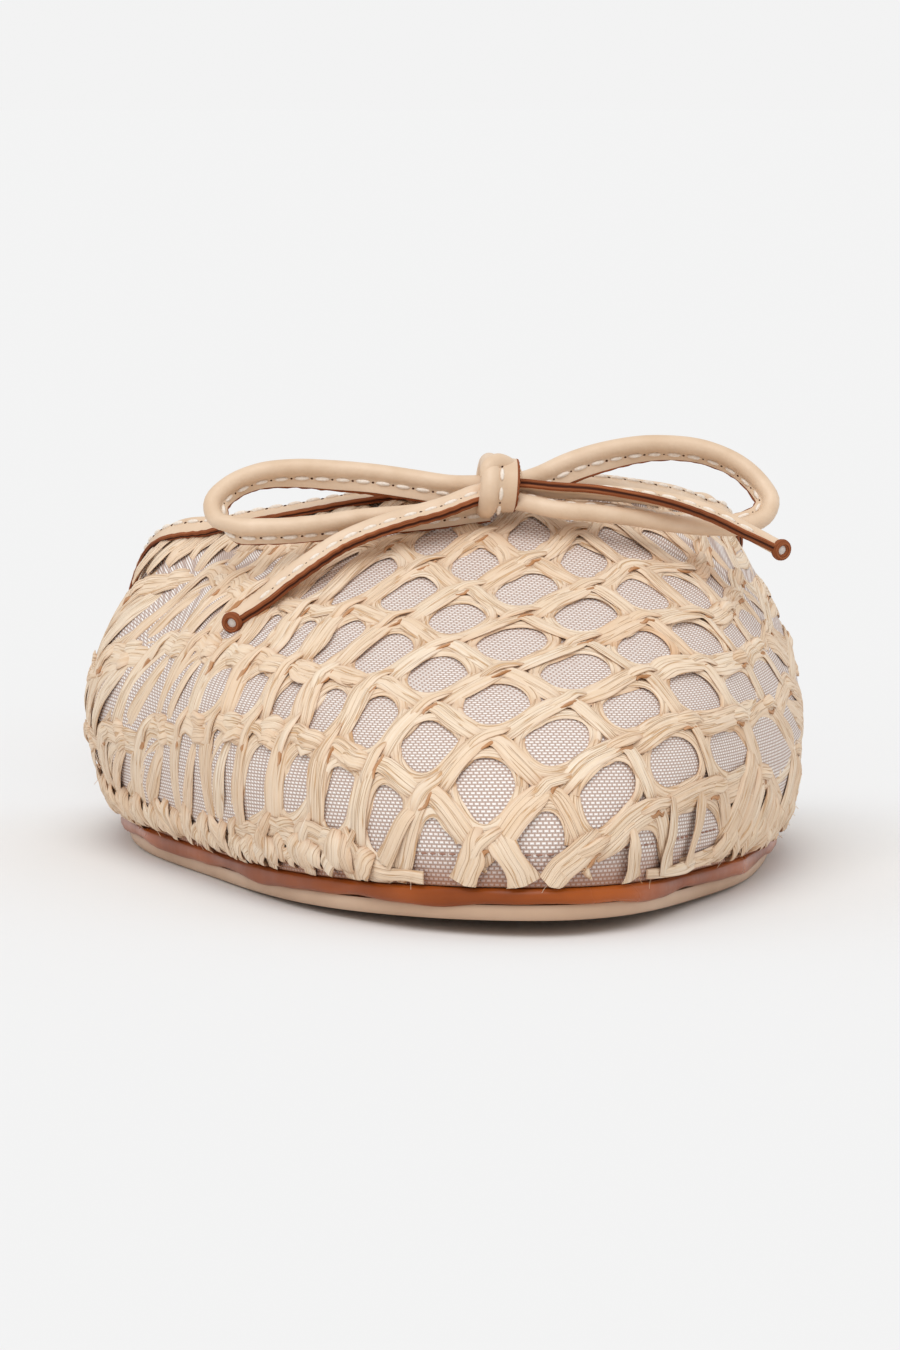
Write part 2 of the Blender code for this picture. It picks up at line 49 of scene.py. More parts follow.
# Shoe form, in mm: toe tip near y 0, heel towards +y, inner side towards +x, floor at z 0
soleForm = {
    "length": 245.0,
    "plan": (  # turn from toe to heel, outer side x, inner side x
        (0.0, 7.0, 7.0),
        (0.1, -6.0, 17.5),
        (0.2, -18.8, 27.0),
        (0.3, -28.5, 37.8),
        (0.4, -38.0, 42.4),
        (0.5, -35.0, 34.0),
        (0.6, -31.0, 25.5),
        (0.7, -28.5, 25.0),
        (0.8, -24.5, 23.0),
        (0.9, -14.5, 14.0),
        (1.0, 0.0, 0.0),
    ),
    "tread": 3.5,
    "midsole": 1.6,
    "insole": 2.2,
    "toeSpring": 2.0,
    "springEnd": 60.0,
    "heelRise": 7.0,
    "riseSpan": (100.0, 190.0),
    "archLift": 5.6,
    "archSpan": (106.0, 172.0),
    "heelFront": 180.0,
    "heelBreast": 4.0,
    "gap": 0.3,
}
vampForm = {
    "ribs": (  # turn, topline x, y, z, bulge, bulge height, slope, pull
        (-0.50, -34.2, 122.0, 9.0, 0.5, 1.2, 80, 0.30),
        (-0.45, -36.0, 103.0, 27.0, 7.0, 10.0, 75, 0.35),
        (-0.40, -34.0, 88.0, 36.5, 10.0, 15.0, 58, 0.38),
        (-0.30, -25.5, 76.5, 40.6, 10.0, 17.0, 38, 0.42),
        (-0.20, -16.5, 71.5, 42.6, 8.0, 18.0, 28, 0.45),
        (-0.10, -6.0, 68.5, 44.6, 6.0, 19.0, 26, 0.48),
        (0.00, 6.0, 66.5, 46.0, 5.0, 20.0, 26, 0.50),
        (0.10, 15.5, 67.5, 45.9, 6.0, 19.0, 27, 0.48),
        (0.20, 25.0, 72.0, 44.4, 8.0, 18.0, 31, 0.45),
        (0.30, 33.0, 79.0, 42.0, 7.0, 14.0, 43, 0.42),
        (0.40, 37.5, 89.0, 37.0, 6.0, 12.0, 62, 0.38),
        (0.45, 37.2, 103.0, 26.0, 4.0, 8.0, 76, 0.35),
        (0.49, 34.5, 117.5, 9.0, 0.5, 1.2, 80, 0.30),
    ),
    "lean": 30.0,
    "flatFoot": 6.0,
    "turnSteps": 361,
    "ribSteps": 121,
    "levels": 97,
}
netForm = (  # turn, post count, change per 10 mm up, row count, change per 10 mm up
    (-0.50, -7.6, -0.90, -5.10, 1.30),
    (-0.40, -4.7, -1.00, -5.25, 1.14),
    (-0.36, -3.58, -1.05, -5.27, 1.01),
    (-0.30, -1.9, -1.10, -5.28, 0.81),
    (-0.25, -0.44, -1.09, -5.27, 0.70),
    (-0.20, 1.0, -1.05, -5.38, 0.705),
    (-0.16, 2.12, -0.99, -5.28, 0.68),
    (-0.13, 2.92, -0.94, -5.08, 0.64),
    (-0.10, 3.6, -0.90, -4.80, 0.56),
    (0.00, 4.9, -0.82, -3.7, 0.55),
    (0.10, 5.7, -0.80, -2.6, 0.60),
    (0.20, 6.0, -0.95, -1.6, 0.81),
    (0.30, 6.0, -0.92, -0.6, 1.24),
    (0.40, 6.0, -0.72, 0.3, 1.26),
    (0.49, 6.1, -0.50, 1.2, 1.16),
)
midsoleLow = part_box("midsole")[0]
outerX = min(row[1] for row in soleForm["plan"])
rowShift = np.array([midsoleLow.x / mm - outerX, midsoleLow.y / mm, 0.0])


def spline(knots, values, at):
    knots = np.asarray(knots, float)
    values = np.asarray(values, float)
    at = np.asarray(at, float)
    span = np.diff(knots)
    slope = np.diff(values, axis=0) / span[:, None]
    tangent = np.empty_like(values)
    tangent[0] = slope[0]
    tangent[-1] = slope[-1]
    weight = (span[1:] + span[:-1])[:, None]
    tangent[1:-1] = (slope[:-1] * span[1:, None] + slope[1:] * span[:-1, None]) / weight
    left = np.clip(np.searchsorted(knots, at) - 1, 0, len(knots) - 2)
    step = span[left][:, None]
    s = (at - knots[left])[:, None] / step
    near = (2 * s**3 - 3 * s**2 + 1) * values[left] + (s**3 - 2 * s**2 + s) * step * tangent[left]
    far = (3 * s**2 - 2 * s**3) * values[left + 1] + (s**3 - s**2) * step * tangent[left + 1]
    return near + far


def tableAt(table, at):
    rows = np.array(table, float)
    return spline(rows[:, 0], rows[:, 1:], at)


def ease(value):
    value = np.clip(value, 0.0, 1.0)
    return value * value * (3.0 - 2.0 * value)


def unit(vectors):
    return vectors / np.linalg.norm(vectors, axis=-1, keepdims=True)


def blunt(value, power):
    # squares off a sine or cosine and keeps its sign
    return np.sign(value) * np.abs(value) ** power


def runLength(points):
    steps = np.linalg.norm(np.diff(points, axis=0), axis=1)
    return np.concatenate([[0.0], np.cumsum(steps)])


# Sole lines: a negative turn is the outer side of the foot


def featherEdge(turn):
    turn = np.asarray(turn, float)
    plan = np.array(soleForm["plan"])
    knots = np.concatenate([-plan[:0:-1, 0], plan[:, 0]])
    side = np.concatenate([plan[:0:-1, 1], plan[:, 2]])
    x = spline(knots, side[:, None], turn)[:, 0]
    return np.stack([x, soleForm["length"] * (1.0 - np.cos(math.pi * turn)) / 2.0], axis=-1)


def outward(turn):
    step = 0.001
    along = unit(featherEdge(turn + step) - featherEdge(turn - step))
    return np.stack([along[:, 1], -along[:, 0]], axis=-1)


def toeSpring(y):
    return soleForm["toeSpring"] * np.clip(1.0 - y / soleForm["springEnd"], 0.0, 1.0) ** 2


def footHeight(y):
    start, end = soleForm["riseSpan"]
    return soleForm["tread"] + toeSpring(y) + soleForm["heelRise"] * ease((y - start) / (end - start))


def underside(y):
    start, end = soleForm["archSpan"]
    waist = soleForm["archLift"] * ease((y - start) / (end - start))
    heel = 1.0 - np.clip((y - soleForm["heelFront"]) / soleForm["heelBreast"], 0.0, 1.0)
    return toeSpring(y) + waist * heel


# Vamp surface as a grid of points by turn and by share of the rib's length


def ribCurves(turn, share):
    rows = tableAt(vampForm["ribs"], turn)
    footPlan = featherEdge(turn)
    away = outward(turn)
    foot = np.column_stack([footPlan, footHeight(footPlan[:, 1]) + soleForm["gap"]])
    top = rows[:, :3]
    lowHandle = foot + np.column_stack([away * rows[:, 3:4], rows[:, 4]])
    back = footPlan - top[:, :2]
    reach = np.linalg.norm(back, axis=1, keepdims=True)
    lean = unit(away + back / np.maximum(vampForm["lean"], reach))
    slope = np.radians(rows[:, 5:6])
    pull = rows[:, 6:7] * np.linalg.norm(top - foot, axis=1, keepdims=True)
    highHandle = top + np.hstack([lean * np.cos(slope), -np.sin(slope)]) * pull
    s = share[None, :, None]
    curve = (1 - s) ** 3 * foot[:, None] + 3 * (1 - s) ** 2 * s * lowHandle[:, None]
    return curve + 3 * (1 - s) * s**2 * highHandle[:, None] + s**3 * top[:, None]


def buildWall():
    turn = np.linspace(vampForm["ribs"][0][0], vampForm["ribs"][-1][0], vampForm["turnSteps"])
    curve = ribCurves(turn, np.linspace(0.0, 1.0, vampForm["ribSteps"]))
    level = np.linspace(0.0, 1.0, vampForm["levels"])
    points = np.empty((len(turn), len(level), 3))
    length = np.empty(len(turn))
    for i, rib in enumerate(curve):
        run = runLength(rib)
        length[i] = run[-1]
        for axis in range(3):
            points[i, :, axis] = np.interp(level * run[-1], run, rib[:, axis])
    normal = unit(np.cross(np.gradient(points, axis=0), np.gradient(points, axis=1)))
    flat = normal.copy()
    flat[..., 2] = 0.0
    blend = ease(level[None, :] * length[:, None] / vampForm["flatFoot"])[..., None]
    normal = unit(unit(flat) * (1.0 - blend) + normal * blend)
    return {"turn": turn, "length": length, "points": points, "normal": normal}


wall = buildWall()
firstTurn, lastTurn = wall["turn"][0], wall["turn"][-1]


def ribLength(turn):
    return np.interp(turn, wall["turn"], wall["length"])


def onWall(turn, rise):
    turn, rise = np.broadcast_arrays(np.asarray(turn, float), np.asarray(rise, float))
    i = (turn - firstTurn) / (lastTurn - firstTurn) * (vampForm["turnSteps"] - 1)
    j = rise / ribLength(turn) * (vampForm["levels"] - 1)
    i0 = np.clip(np.floor(i).astype(int), 0, vampForm["turnSteps"] - 2)
    j0 = np.clip(np.floor(j).astype(int), 0, vampForm["levels"] - 2)
    a = (i - i0)[..., None]
    b = (j - j0)[..., None]
    found = []
    for grid in (wall["points"], wall["normal"]):
        low = grid[i0, j0] * (1 - a) + grid[i0 + 1, j0] * a
        high = grid[i0, j0 + 1] * (1 - a) + grid[i0 + 1, j0 + 1] * a
        found.append(low * (1 - b) + high * b)
    return found[0], unit(found[1])


print("shoe form ready:", wall["points"].shape[0], "ribs")


# Shader groups and materials


def linear(colour):
    return tuple(((c / 255.0 + 0.055) / 1.055) ** 2.4 for c in colour) + (1.0,)


def newGroup(name, inputs, outputs, kind="ShaderNodeTree"):
    group = bpy.data.node_groups.new(name, kind)
    for title, socketType, value in inputs:
        socket = group.interface.new_socket(title, in_out="INPUT", socket_type=socketType)
        if value is not None:
            socket.default_value = value
    for title, socketType in outputs:
        group.interface.new_socket(title, in_out="OUTPUT", socket_type=socketType)
    return group, group.nodes.new("NodeGroupInput"), group.nodes.new("NodeGroupOutput")


def addNode(tree, kind, links=(), **settings):
    node = tree.nodes.new(kind)
    for key, value in settings.items():
        setattr(node, key, value)
    for socket, value in dict(links).items():
        if isinstance(value, bpy.types.NodeSocket):
            tree.links.new(value, node.inputs[socket])
        else:
            node.inputs[socket].default_value = value
    return node


def calc(tree, operation, first, second=0.0):
    return addNode(tree, "ShaderNodeMath", {0: first, 1: second}, operation=operation).outputs[0]


def mixColour(tree, share, first, second):
    links = {0: share, 6: first, 7: second}
    return addNode(tree, "ShaderNodeMix", links, data_type="RGBA", clamp_factor=True).outputs[2]


def remap(tree, value, low, high, outLow=0.0, outHigh=1.0):
    links = {"Value": value, "From Min": low, "From Max": high, "To Min": outLow, "To Max": outHigh}
    return addNode(tree, "ShaderNodeMapRange", links).outputs["Result"]


def makeFibreGroup():
    # lengthwise fibres: x runs along the strip and y across it, both in mm
    group, source, result = newGroup(
        "lengthwiseFibres",
        (("Vector", "NodeSocketVector", None), ("Fineness", "NodeSocketFloat", 3.0)),
        (("Streak", "NodeSocketFloat"), ("CreaseShade", "NodeSocketFloat"), ("Height", "NodeSocketFloat")),
    )
    parts = addNode(group, "ShaderNodeSeparateXYZ", {0: source.outputs["Vector"]})
    layers = []
    for stretch, fineness in ((0.10, 1.0), (0.32, 3.6), (0.06, 0.7)):  # broad, fine, creases
        across = calc(group, "MULTIPLY", parts.outputs[1], source.outputs["Fineness"])
        across = calc(group, "MULTIPLY", across, fineness)
        along = calc(group, "MULTIPLY", parts.outputs[0], stretch)
        where = addNode(group, "ShaderNodeCombineXYZ", {0: along, 1: across, 2: 7.0 * fineness})
        links = {"Vector": where.outputs[0], "Scale": 1.0, "Detail": 2.0}
        layers.append(addNode(group, "ShaderNodeTexNoise", links).outputs["Fac"])
    broad = calc(group, "MULTIPLY", layers[0], 0.6)
    streak = calc(group, "ADD", broad, calc(group, "MULTIPLY", layers[1], 0.4))
    group.links.new(remap(group, streak, 0.34, 0.66), result.inputs["Streak"])
    # crease lines: fold grooves in the height, also painted darker as shade
    offCentre = calc(group, "ABSOLUTE", calc(group, "SUBTRACT", layers[2], 0.5))
    line = remap(group, offCentre, 0.0, 0.028, 1.0, 0.0)
    group.links.new(calc(group, "MULTIPLY", line, 0.8), result.inputs["CreaseShade"])
    height = calc(group, "SUBTRACT", streak, calc(group, "MULTIPLY", line, 0.35))
    group.links.new(height, result.inputs["Height"])
    return group


def makeGrainGroup():
    # fine hide grain with a slow mottle, on Object coordinates
    group, source, result = newGroup(
        "hideGrain",
        (("Vector", "NodeSocketVector", None), ("Cells per metre", "NodeSocketFloat", 2200.0)),
        (("Mottle", "NodeSocketFloat"), ("Height", "NodeSocketFloat")),
    )
    where, cells = source.outputs["Vector"], source.outputs["Cells per metre"]
    links = {"Vector": where, "Scale": cells, "Randomness": 0.9}
    pebble = addNode(group, "ShaderNodeTexVoronoi", links, feature="SMOOTH_F1").outputs["Distance"]
    links = {"Vector": where, "Scale": calc(group, "MULTIPLY", cells, 0.09), "Detail": 4.0}
    slow = addNode(group, "ShaderNodeTexNoise", links).outputs["Fac"]
    group.links.new(remap(group, slow, 0.3, 0.7), result.inputs["Mottle"])
    bumps = calc(group, "ADD", pebble, calc(group, "MULTIPLY", slow, 0.6))
    group.links.new(bumps, result.inputs["Height"])
    return group


fibreGroup = makeFibreGroup()
grainGroup = makeGrainGroup()


def newMaterial(name, roughness, **fixed):
    made = bpy.data.materials.new(name)
    made.use_nodes = True
    tree = made.node_tree
    shader = tree.nodes["Principled BSDF"]
    shader.inputs["Roughness"].default_value = roughness
    for socket, value in fixed.items():
        shader.inputs[socket.replace("_", " ")].default_value = value
    return made, tree, shader


def dress(tree, shader, colour, roughness, height, strength, depth):
    # colour, gloss and relief into the shader
    links = {"Strength": strength, "Distance": depth, "Height": height}
    bump = addNode(tree, "ShaderNodeBump", links).outputs["Normal"]
    for socket, value in (("Base Color", colour), ("Roughness", roughness), ("Normal", bump)):
        if value is not None:
            tree.links.new(value, shader.inputs[socket])


def readMark(tree, name):
    return addNode(tree, "ShaderNodeAttribute", attribute_name=name).outputs["Fac"]


def addFibres(tree, fineness):
    where = addNode(tree, "ShaderNodeUVMap", uv_map="strand").outputs["UV"]
    links = {"Vector": where, "Fineness": fineness}
    return addNode(tree, "ShaderNodeGroup", links, node_tree=fibreGroup).outputs


raffiaLook = {
    "light": (248, 231, 210),
    "mid": (235, 209, 178),
    "creaseShade": (202, 153, 98),
    "tan": (220, 170, 122),
    "creviceShade": (182, 122, 70),
    "fineness": 2.4,
    "bump": 0.7,
}


def makeRaffia():
    made, tree, shader = newMaterial("raffia", 0.6, Specular_IOR_Level=0.3)
    fibres = addFibres(tree, raffiaLook["fineness"])
    colour = mixColour(tree, fibres["Streak"], linear(raffiaLook["mid"]), linear(raffiaLook["light"]))
    # painted shade along the fold lines
    colour = mixColour(tree, fibres["CreaseShade"], colour, linear(raffiaLook["creaseShade"]))
    colour = mixColour(tree, readMark(tree, "tone"), colour, linear(raffiaLook["tan"]))
    # painted shade: strands turn warm brown where they tuck under others, along their edges and on their
    # undersides
    colour = mixColour(tree, readMark(tree, "tuck"), colour, linear(raffiaLook["creviceShade"]))
    roughness = remap(tree, fibres["Streak"], 0.0, 1.0, 0.7, 0.5)
    dress(tree, shader, colour, roughness, fibres["Height"], raffiaLook["bump"], 0.0004)
    return made


liningLook = {
    "slub": (255, 250, 246),
    "thread": (246, 236, 230),
    "gap": (182, 153, 138),
    # foot: painted shade where the lining meets the sole
    "foot": (150, 88, 48),
    "slubLength": 0.66,
    "slubHeight": 0.48,
    "spacing": 0.20,
    "bump": 0.5,
}


def makeLining():
    made, tree, shader = newMaterial("liningMesh", 0.55, Specular_IOR_Level=0.4)
    where = addNode(tree, "ShaderNodeUVMap", uv_map="weave").outputs["UV"]
    bricks = {
        "Vector": where,
        "Color1": linear(liningLook["slub"]),
        "Color2": linear(liningLook["thread"]),
        "Mortar": linear(liningLook["gap"]),
        "Scale": 1.0,
        "Mortar Size": liningLook["spacing"],
        "Mortar Smooth": 1.0,
        "Bias": -0.35,
        "Brick Width": liningLook["slubLength"],
        "Row Height": liningLook["slubHeight"],
    }
    weave = addNode(tree, "ShaderNodeTexBrick", bricks, offset=0.5, offset_frequency=2)
    # painted shade: the lining turns brown towards the sole
    foot = readMark(tree, "foot")
    colour = mixColour(tree, foot, weave.outputs["Color"], linear(liningLook["foot"]))
    height = calc(tree, "SUBTRACT", 1.0, weave.outputs["Fac"])
    roughness = remap(tree, height, 0.0, 1.0, 0.75, 0.42)
    dress(tree, shader, colour, roughness, height, liningLook["bump"], 0.0002)
    return made


leatherLook = {
    "light": (228, 202, 175),
    "dark": (214, 185, 155),
    "cells": 2600.0,
    "roughness": (0.36, 0.50),
    "bump": 0.10,
    "depth": 0.0003,
}
outsoleLook = {
    "light": (214, 182, 154),
    "dark": (198, 164, 136),
    "cells": 900.0,
    "roughness": (0.42, 0.58),
    "bump": 0.06,
    "depth": 0.0003,
}
footbedLook = {
    "light": (225, 200, 171),
    "dark": (219, 192, 162),
    "cells": 1500.0,
    "roughness": (0.42, 0.56),
    "bump": 0.10,
    "depth": 0.0003,
}
edgePaintLook = {
    "light": (172, 85, 24),
    "dark": (122, 54, 10),
    "cells": 700.0,
    "roughness": (0.26, 0.42),
    "bump": 0.08,
    "depth": 0.0004,
}


def makeGrained(name, look, **fixed):
    low, high = look["roughness"]
    made, tree, shader = newMaterial(name, low, **fixed)
    where = addNode(tree, "ShaderNodeTexCoord").outputs["Object"]
    links = {"Vector": where, "Cells per metre": look["cells"]}
    grain = addNode(tree, "ShaderNodeGroup", links, node_tree=grainGroup).outputs
    colour = mixColour(tree, grain["Mottle"], linear(look["dark"]), linear(look["light"]))
    roughness = remap(tree, grain["Mottle"], 0.0, 1.0, high, low)
    dress(tree, shader, colour, roughness, grain["Height"], look["bump"], look["depth"])
    return made


# seam: painted shade for the groove between the two leather layers
rawEdgeLook = {"light": (170, 100, 60), "dark": (102, 46, 18), "seam": (62, 26, 10), "fineness": 5.0}


def makeRawEdge():
    made, tree, shader = newMaterial("rawLeatherEdge", 0.8, Specular_IOR_Level=0.25)
    fibres = addFibres(tree, rawEdgeLook["fineness"])
    colour = mixColour(tree, fibres["Streak"], linear(rawEdgeLook["dark"]), linear(rawEdgeLook["light"]))
    # painted shade in the groove between the two leather layers
    colour = mixColour(tree, readMark(tree, "tuck"), colour, linear(rawEdgeLook["seam"]))
    roughness = remap(tree, fibres["Streak"], 0.0, 1.0, 0.9, 0.7)
    dress(tree, shader, colour, roughness, fibres["Height"], 0.5, 0.0003)
    return made


threadLook = {"light": (253, 247, 239), "dark": (218, 198, 176), "roughness": 0.6}
seamLook = {"light": (178, 138, 120), "dark": (138, 98, 82), "roughness": 0.7}
# dark blobs between the stitches: painted shade of the dimples where the thread pulls into the leather
holeLook = {"light": (92, 52, 28), "dark": (54, 26, 12), "roughness": 0.9}
coreLook = {"light": (240, 234, 228), "dark": (196, 184, 174), "roughness": 0.8}


def makeThread(name, look):
    made, tree, shader = newMaterial(name, look["roughness"], Specular_IOR_Level=0.3)
    where = addNode(tree, "ShaderNodeTexCoord").outputs["Object"]
    links = {"Vector": where, "Scale": 3000.0, "Detail": 2.0}
    twist = addNode(tree, "ShaderNodeTexNoise", links).outputs["Fac"]
    colour = mixColour(tree, twist, linear(look["dark"]), linear(look["light"]))
    dress(tree, shader, colour, None, twist, 0.3, 0.0002)
    return made


painted = {"Coat_Weight": 0.1, "Coat_Roughness": 0.2, "Specular_IOR_Level": 0.25}
materials = {
    "raffia": makeRaffia(),
    "lining": makeLining(),
    "leather": makeGrained("nappaLeather", leatherLook, Specular_IOR_Level=0.45),
    "rawEdge": makeRawEdge(),
    "edgePaint": makeGrained("edgePaint", edgePaintLook, **painted),
    "outsole": makeGrained("outsoleResin", outsoleLook, Specular_IOR_Level=0.45),
    "footbed": makeGrained("footbedLeather", footbedLook, Specular_IOR_Level=0.45),
    "thread": makeThread("creamThread", threadLook),
    "seam": makeThread("lastingSeam", seamLook),
    "hole": makeThread("needleHoleShade", holeLook),
    "core": makeThread("cordCore", coreLook),
}
print("materials ready:", len(materials))


# Mesh helpers


def newBatch():
    return {"points": [], "faces": [], "uv": [], "marks": {}, "count": 0}


def addPart(batch, points, faces, uv=None, **marks):
    points = np.asarray(points, float).reshape(-1, 3)
    start = batch["count"]
    batch["points"].append(points)
    batch["faces"].extend([tuple(start + c for c in face) for face in faces])
    uv = np.zeros((len(points), 2)) if uv is None else uv
    batch["uv"].append(np.asarray(uv, float).reshape(-1, 2))
    for name, value in marks.items():
        values = np.broadcast_to(np.asarray(value, float).ravel(), (len(points),))
        batch["marks"].setdefault(name, []).append(values)
    batch["count"] += len(points)


def loftFaces(rings, size, closed=True, capped=True):
    faces = []
    for row in range(rings - 1):
        for side in range(size if closed else size - 1):
            a = row * size + side
            b = row * size + (side + 1) % size
            faces.append((a, b, b + size, a + size))
    if capped:
        faces.append(tuple(range(size))[::-1])
        faces.append(tuple(range((rings - 1) * size, rings * size)))
    return faces


def addLoft(batch, rings, uv=None, **marks):
    rings = np.asarray(rings)
    addPart(batch, rings, loftFaces(*rings.shape[:2]), uv, **marks)


def newObject(name, data):
    made = bpy.data.objects.new(name, data)
    bpy.context.scene.collection.objects.link(made)
    return made


def settle(piece):
    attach(piece, "root")


def finishPiece(name, batch, material, uvName="strand", sharp=60.0):
    points = (np.concatenate(batch["points"]) + rowShift) * mm
    mesh = bpy.data.meshes.new(name)
    mesh.from_pydata(points.tolist(), [], batch["faces"])
    shell = bmesh.new()
    shell.from_mesh(mesh)
    bmesh.ops.recalc_face_normals(shell, faces=shell.faces)
    shell.to_mesh(mesh)
    shell.free()
    corner = np.empty(len(mesh.loops), int)
    mesh.loops.foreach_get("vertex_index", corner)
    layer = mesh.uv_layers.new(name=uvName)
    layer.data.foreach_set("uv", np.concatenate(batch["uv"])[corner].astype(np.float32).ravel())
    for mark, values in batch["marks"].items():
        attribute = mesh.attributes.new(mark, "FLOAT", "POINT")
        attribute.data.foreach_set("value", np.concatenate(values).astype(np.float32))
    mesh.shade_smooth()
    mesh.set_sharp_from_angle(angle=math.radians(sharp))
    mesh.materials.append(materials[material])
    piece = newObject(name, mesh)
    settle(piece)
    return piece


# Raffia net: posts climb from the sole to the topline, rows run across them

raffia = {
    "traceSteps": 2400,
    "fewestTraced": 12,
    "fewestInside": 8,
    "margin": 2.6,
    "lowest": 0.4,
    "topGap": 1.0,
    "endGap": 1.8,
    "nodeGap": 1.2,
    "soleReach": 3.0,
    "flare": 1.4,
    "stationStep": 0.75,
    "stations": (6, 20),
    "topPoints": 11,
    "base": 0.10,
    "crown": 0.17,
    "flatCrown": 0.14,
    "narrowest": 0.25,
    "foldPitch": (0.6, 1.2),
    "foldDepth": (0.015, 0.05),
    "foldDrift": 0.05,
    "foldOver": (0.02, 0.09),
    "overFrom": (-0.6, 0.6),
    "roll": 3.5,
    "wander": 0.16,
    "tone": (0.0, 0.3),
    "tanTone": (0.35, 0.6),
    "tanShare": 0.006,
    # strength of the painted shade along the strand edges
    "edgeShade": 0.26,
    "headRoom": 0.85,
    "clear": 0.45,
}
postBase = (  # share of the way between nodes, sideways, lift, width, painted shade
    (0.0, 0.0, -0.58, 2.2, 0.20),
    (0.3, 0.0, -0.48, 2.4, 0.00),
    (0.7, 0.0, -0.48, 2.4, 0.00),
    (1.0, 0.0, -0.58, 2.2, 0.20),
)
rowBase = (
    (0.0, 0.0, -0.56, 2.3, 0.20),
    (0.3, 0.0, -0.46, 2.6, 0.00),
    (0.7, 0.0, -0.46, 2.6, 0.00),
    (1.0, 0.0, -0.56, 2.3, 0.20),
)
overArc = (  # share of the way round half a window, sideways, lift, width, painted shade
    (0.0, 0.0, -0.46, 0.9, 0.25),
    (0.12, 0.0, -0.38, 1.4, 0.02),
    (0.5, 0.0, -0.34, 1.65, 0.00),
    (0.86, 0.0, -0.38, 1.5, 0.02),
    (1.0, 0.0, -0.54, 1.0, 0.35),
)
underArc = (
    (0.0, 0.0, -0.56, 1.0, 0.35),
    (0.14, 0.0, -0.44, 1.4, 0.02),
    (0.5, 0.0, -0.40, 1.65, 0.00),
    (0.86, 0.0, -0.42, 1.5, 0.02),
    (1.0, 0.0, -0.52, 0.9, 0.30),
)
acrossPly = (  # share before or after the node, sideways, lift, width, painted shade
    (-1.0, -0.6, -0.50, 1.6, 0.45),
    (-0.8, -0.5, -0.28, 2.3, 0.04),
    (-0.4, 0.1, -0.20, 2.5, 0.00),
    (-0.12, 0.3, -0.10, 2.3, 0.00),
    (0.12, 0.3, -0.06, 2.3, 0.00),
    (0.4, 0.0, -0.16, 2.7, 0.00),
    (0.75, -0.3, -0.26, 2.5, 0.00),
    (1.0, -0.4, -0.44, 1.7, 0.40),
)
lipPly = (  # mm from the node, sideways, lift, width, painted shade
    (-3.4, 0.40, -0.24, 0.5, 0.30),
    (-1.7, 0.42, 0.08, 1.35, 0.00),
    (0.0, 0.32, 0.27, 1.55, 0.00),
    (1.6, 0.12, 0.14, 1.35, 0.00),
    (3.2, -0.12, -0.20, 0.5, 0.40),
)
# dark strands laid below each lip: painted shade for the gap under it
slitShadePly = (
    (-1.9, -0.72, 0.00, 0.25, 0.70),
    (-0.4, -0.80, 0.12, 0.52, 0.85),
    (1.1, -0.72, 0.00, 0.25, 0.70),
)
gapShadePly = (
    (-3.8, 0.00, -0.04, 0.25, 0.55),
    (-2.4, 0.05, 0.04, 0.75, 0.80),
    (-1.2, 0.00, -0.02, 0.55, 0.75),
)
leafPly = (  # share of the leaf's length, sideways, lift, width, painted shade
    (0.0, 0.0, -0.45, 1.2, 0.50),
    (0.2, 0.0, -0.12, 2.3, 0.06),
    (0.5, 0.0, 0.05, 2.8, 0.00),
    (0.8, 0.0, -0.05, 2.3, 0.05),
    (1.0, 0.0, -0.45, 1.2, 0.50),
)
footPly = (
    (0.00, 0.00, -0.40, 2.1, 0.30),
    (0.14, 0.00, 0.10, 2.8, 0.05),
    (0.45, 0.00, 0.38, 3.0, 0.00),
    (0.80, 0.00, 0.18, 2.3, 0.00),
    (1.00, 0.00, -0.35, 1.4, 0.30),
)
bladePly = (
    (0.00, 0.00, -0.20, 2.4, 0.15),
    (0.20, 0.00, 0.12, 3.1, 0.00),
    (0.60, 0.00, 0.18, 3.0, 0.00),
    (0.85, 0.00, -0.05, 2.4, 0.05),
    (1.00, 0.00, -0.80, 2.0, 0.30),
)


def stretches(mask):
    # start and end of every unbroken stretch of the mask
    cuts = np.flatnonzero(np.diff(np.concatenate([[0], mask.astype(int), [0]])))
    return zip(cuts[::2], cuts[1::2])


def wallLine(turn, rise):
    return {"turn": turn, "rise": rise, "along": runLength(onWall(turn, rise)[0])}


def netLines(family):
    turn = np.linspace(firstTurn, lastTurn, raffia["traceSteps"])
    rows = tableAt(netForm, turn)
    own, other = (0, 2) if family == "post" else (2, 0)
    length = ribLength(turn)
    counts = np.concatenate([rows[:, own], rows[:, own] + rows[:, own + 1] * length / 10.0])
    lines = []
    for number in range(math.floor(counts.min()), math.ceil(counts.max()) + 1):
        rise = (number - rows[:, own]) / rows[:, own + 1] * 10.0
        near = (rise > -raffia["margin"]) & (rise < length + raffia["margin"])
        for start, end in stretches(near):
            part = slice(start, end)
            if end - start > raffia["fewestTraced"]:
                lines.append(traceLine(number, turn[part], rise[part], rows[part, other:other + 2]))
    return [line for line in lines if line]


def traceLine(number, turn, rise, other):
    inside = (rise > raffia["lowest"]) & (rise < ribLength(turn) - raffia["topGap"])
    if inside.sum() < raffia["fewestInside"]:
        return None
    line = wallLine(turn, rise)
    line["number"] = number
    line["count"] = np.maximum.accumulate(other[:, 0] + other[:, 1] * rise / 10.0)
    line["span"] = line["along"][inside][0], line["along"][inside][-1]
    line["stops"] = lineStops(line)
    return line


def lineStops(line):
    # places along the line: its two ends and the nodes between them
    low, high = line["span"]
    ends = np.interp([low, high], line["along"], line["count"])
    nodes = np.arange(math.ceil(ends[0]), math.floor(ends[1]) + 1)
    places = np.interp(nodes, line["count"], line["along"])
    inner = [place for place in places if low + raffia["endGap"] < place < high - raffia["endGap"]]
    return [low] + inner + [high]


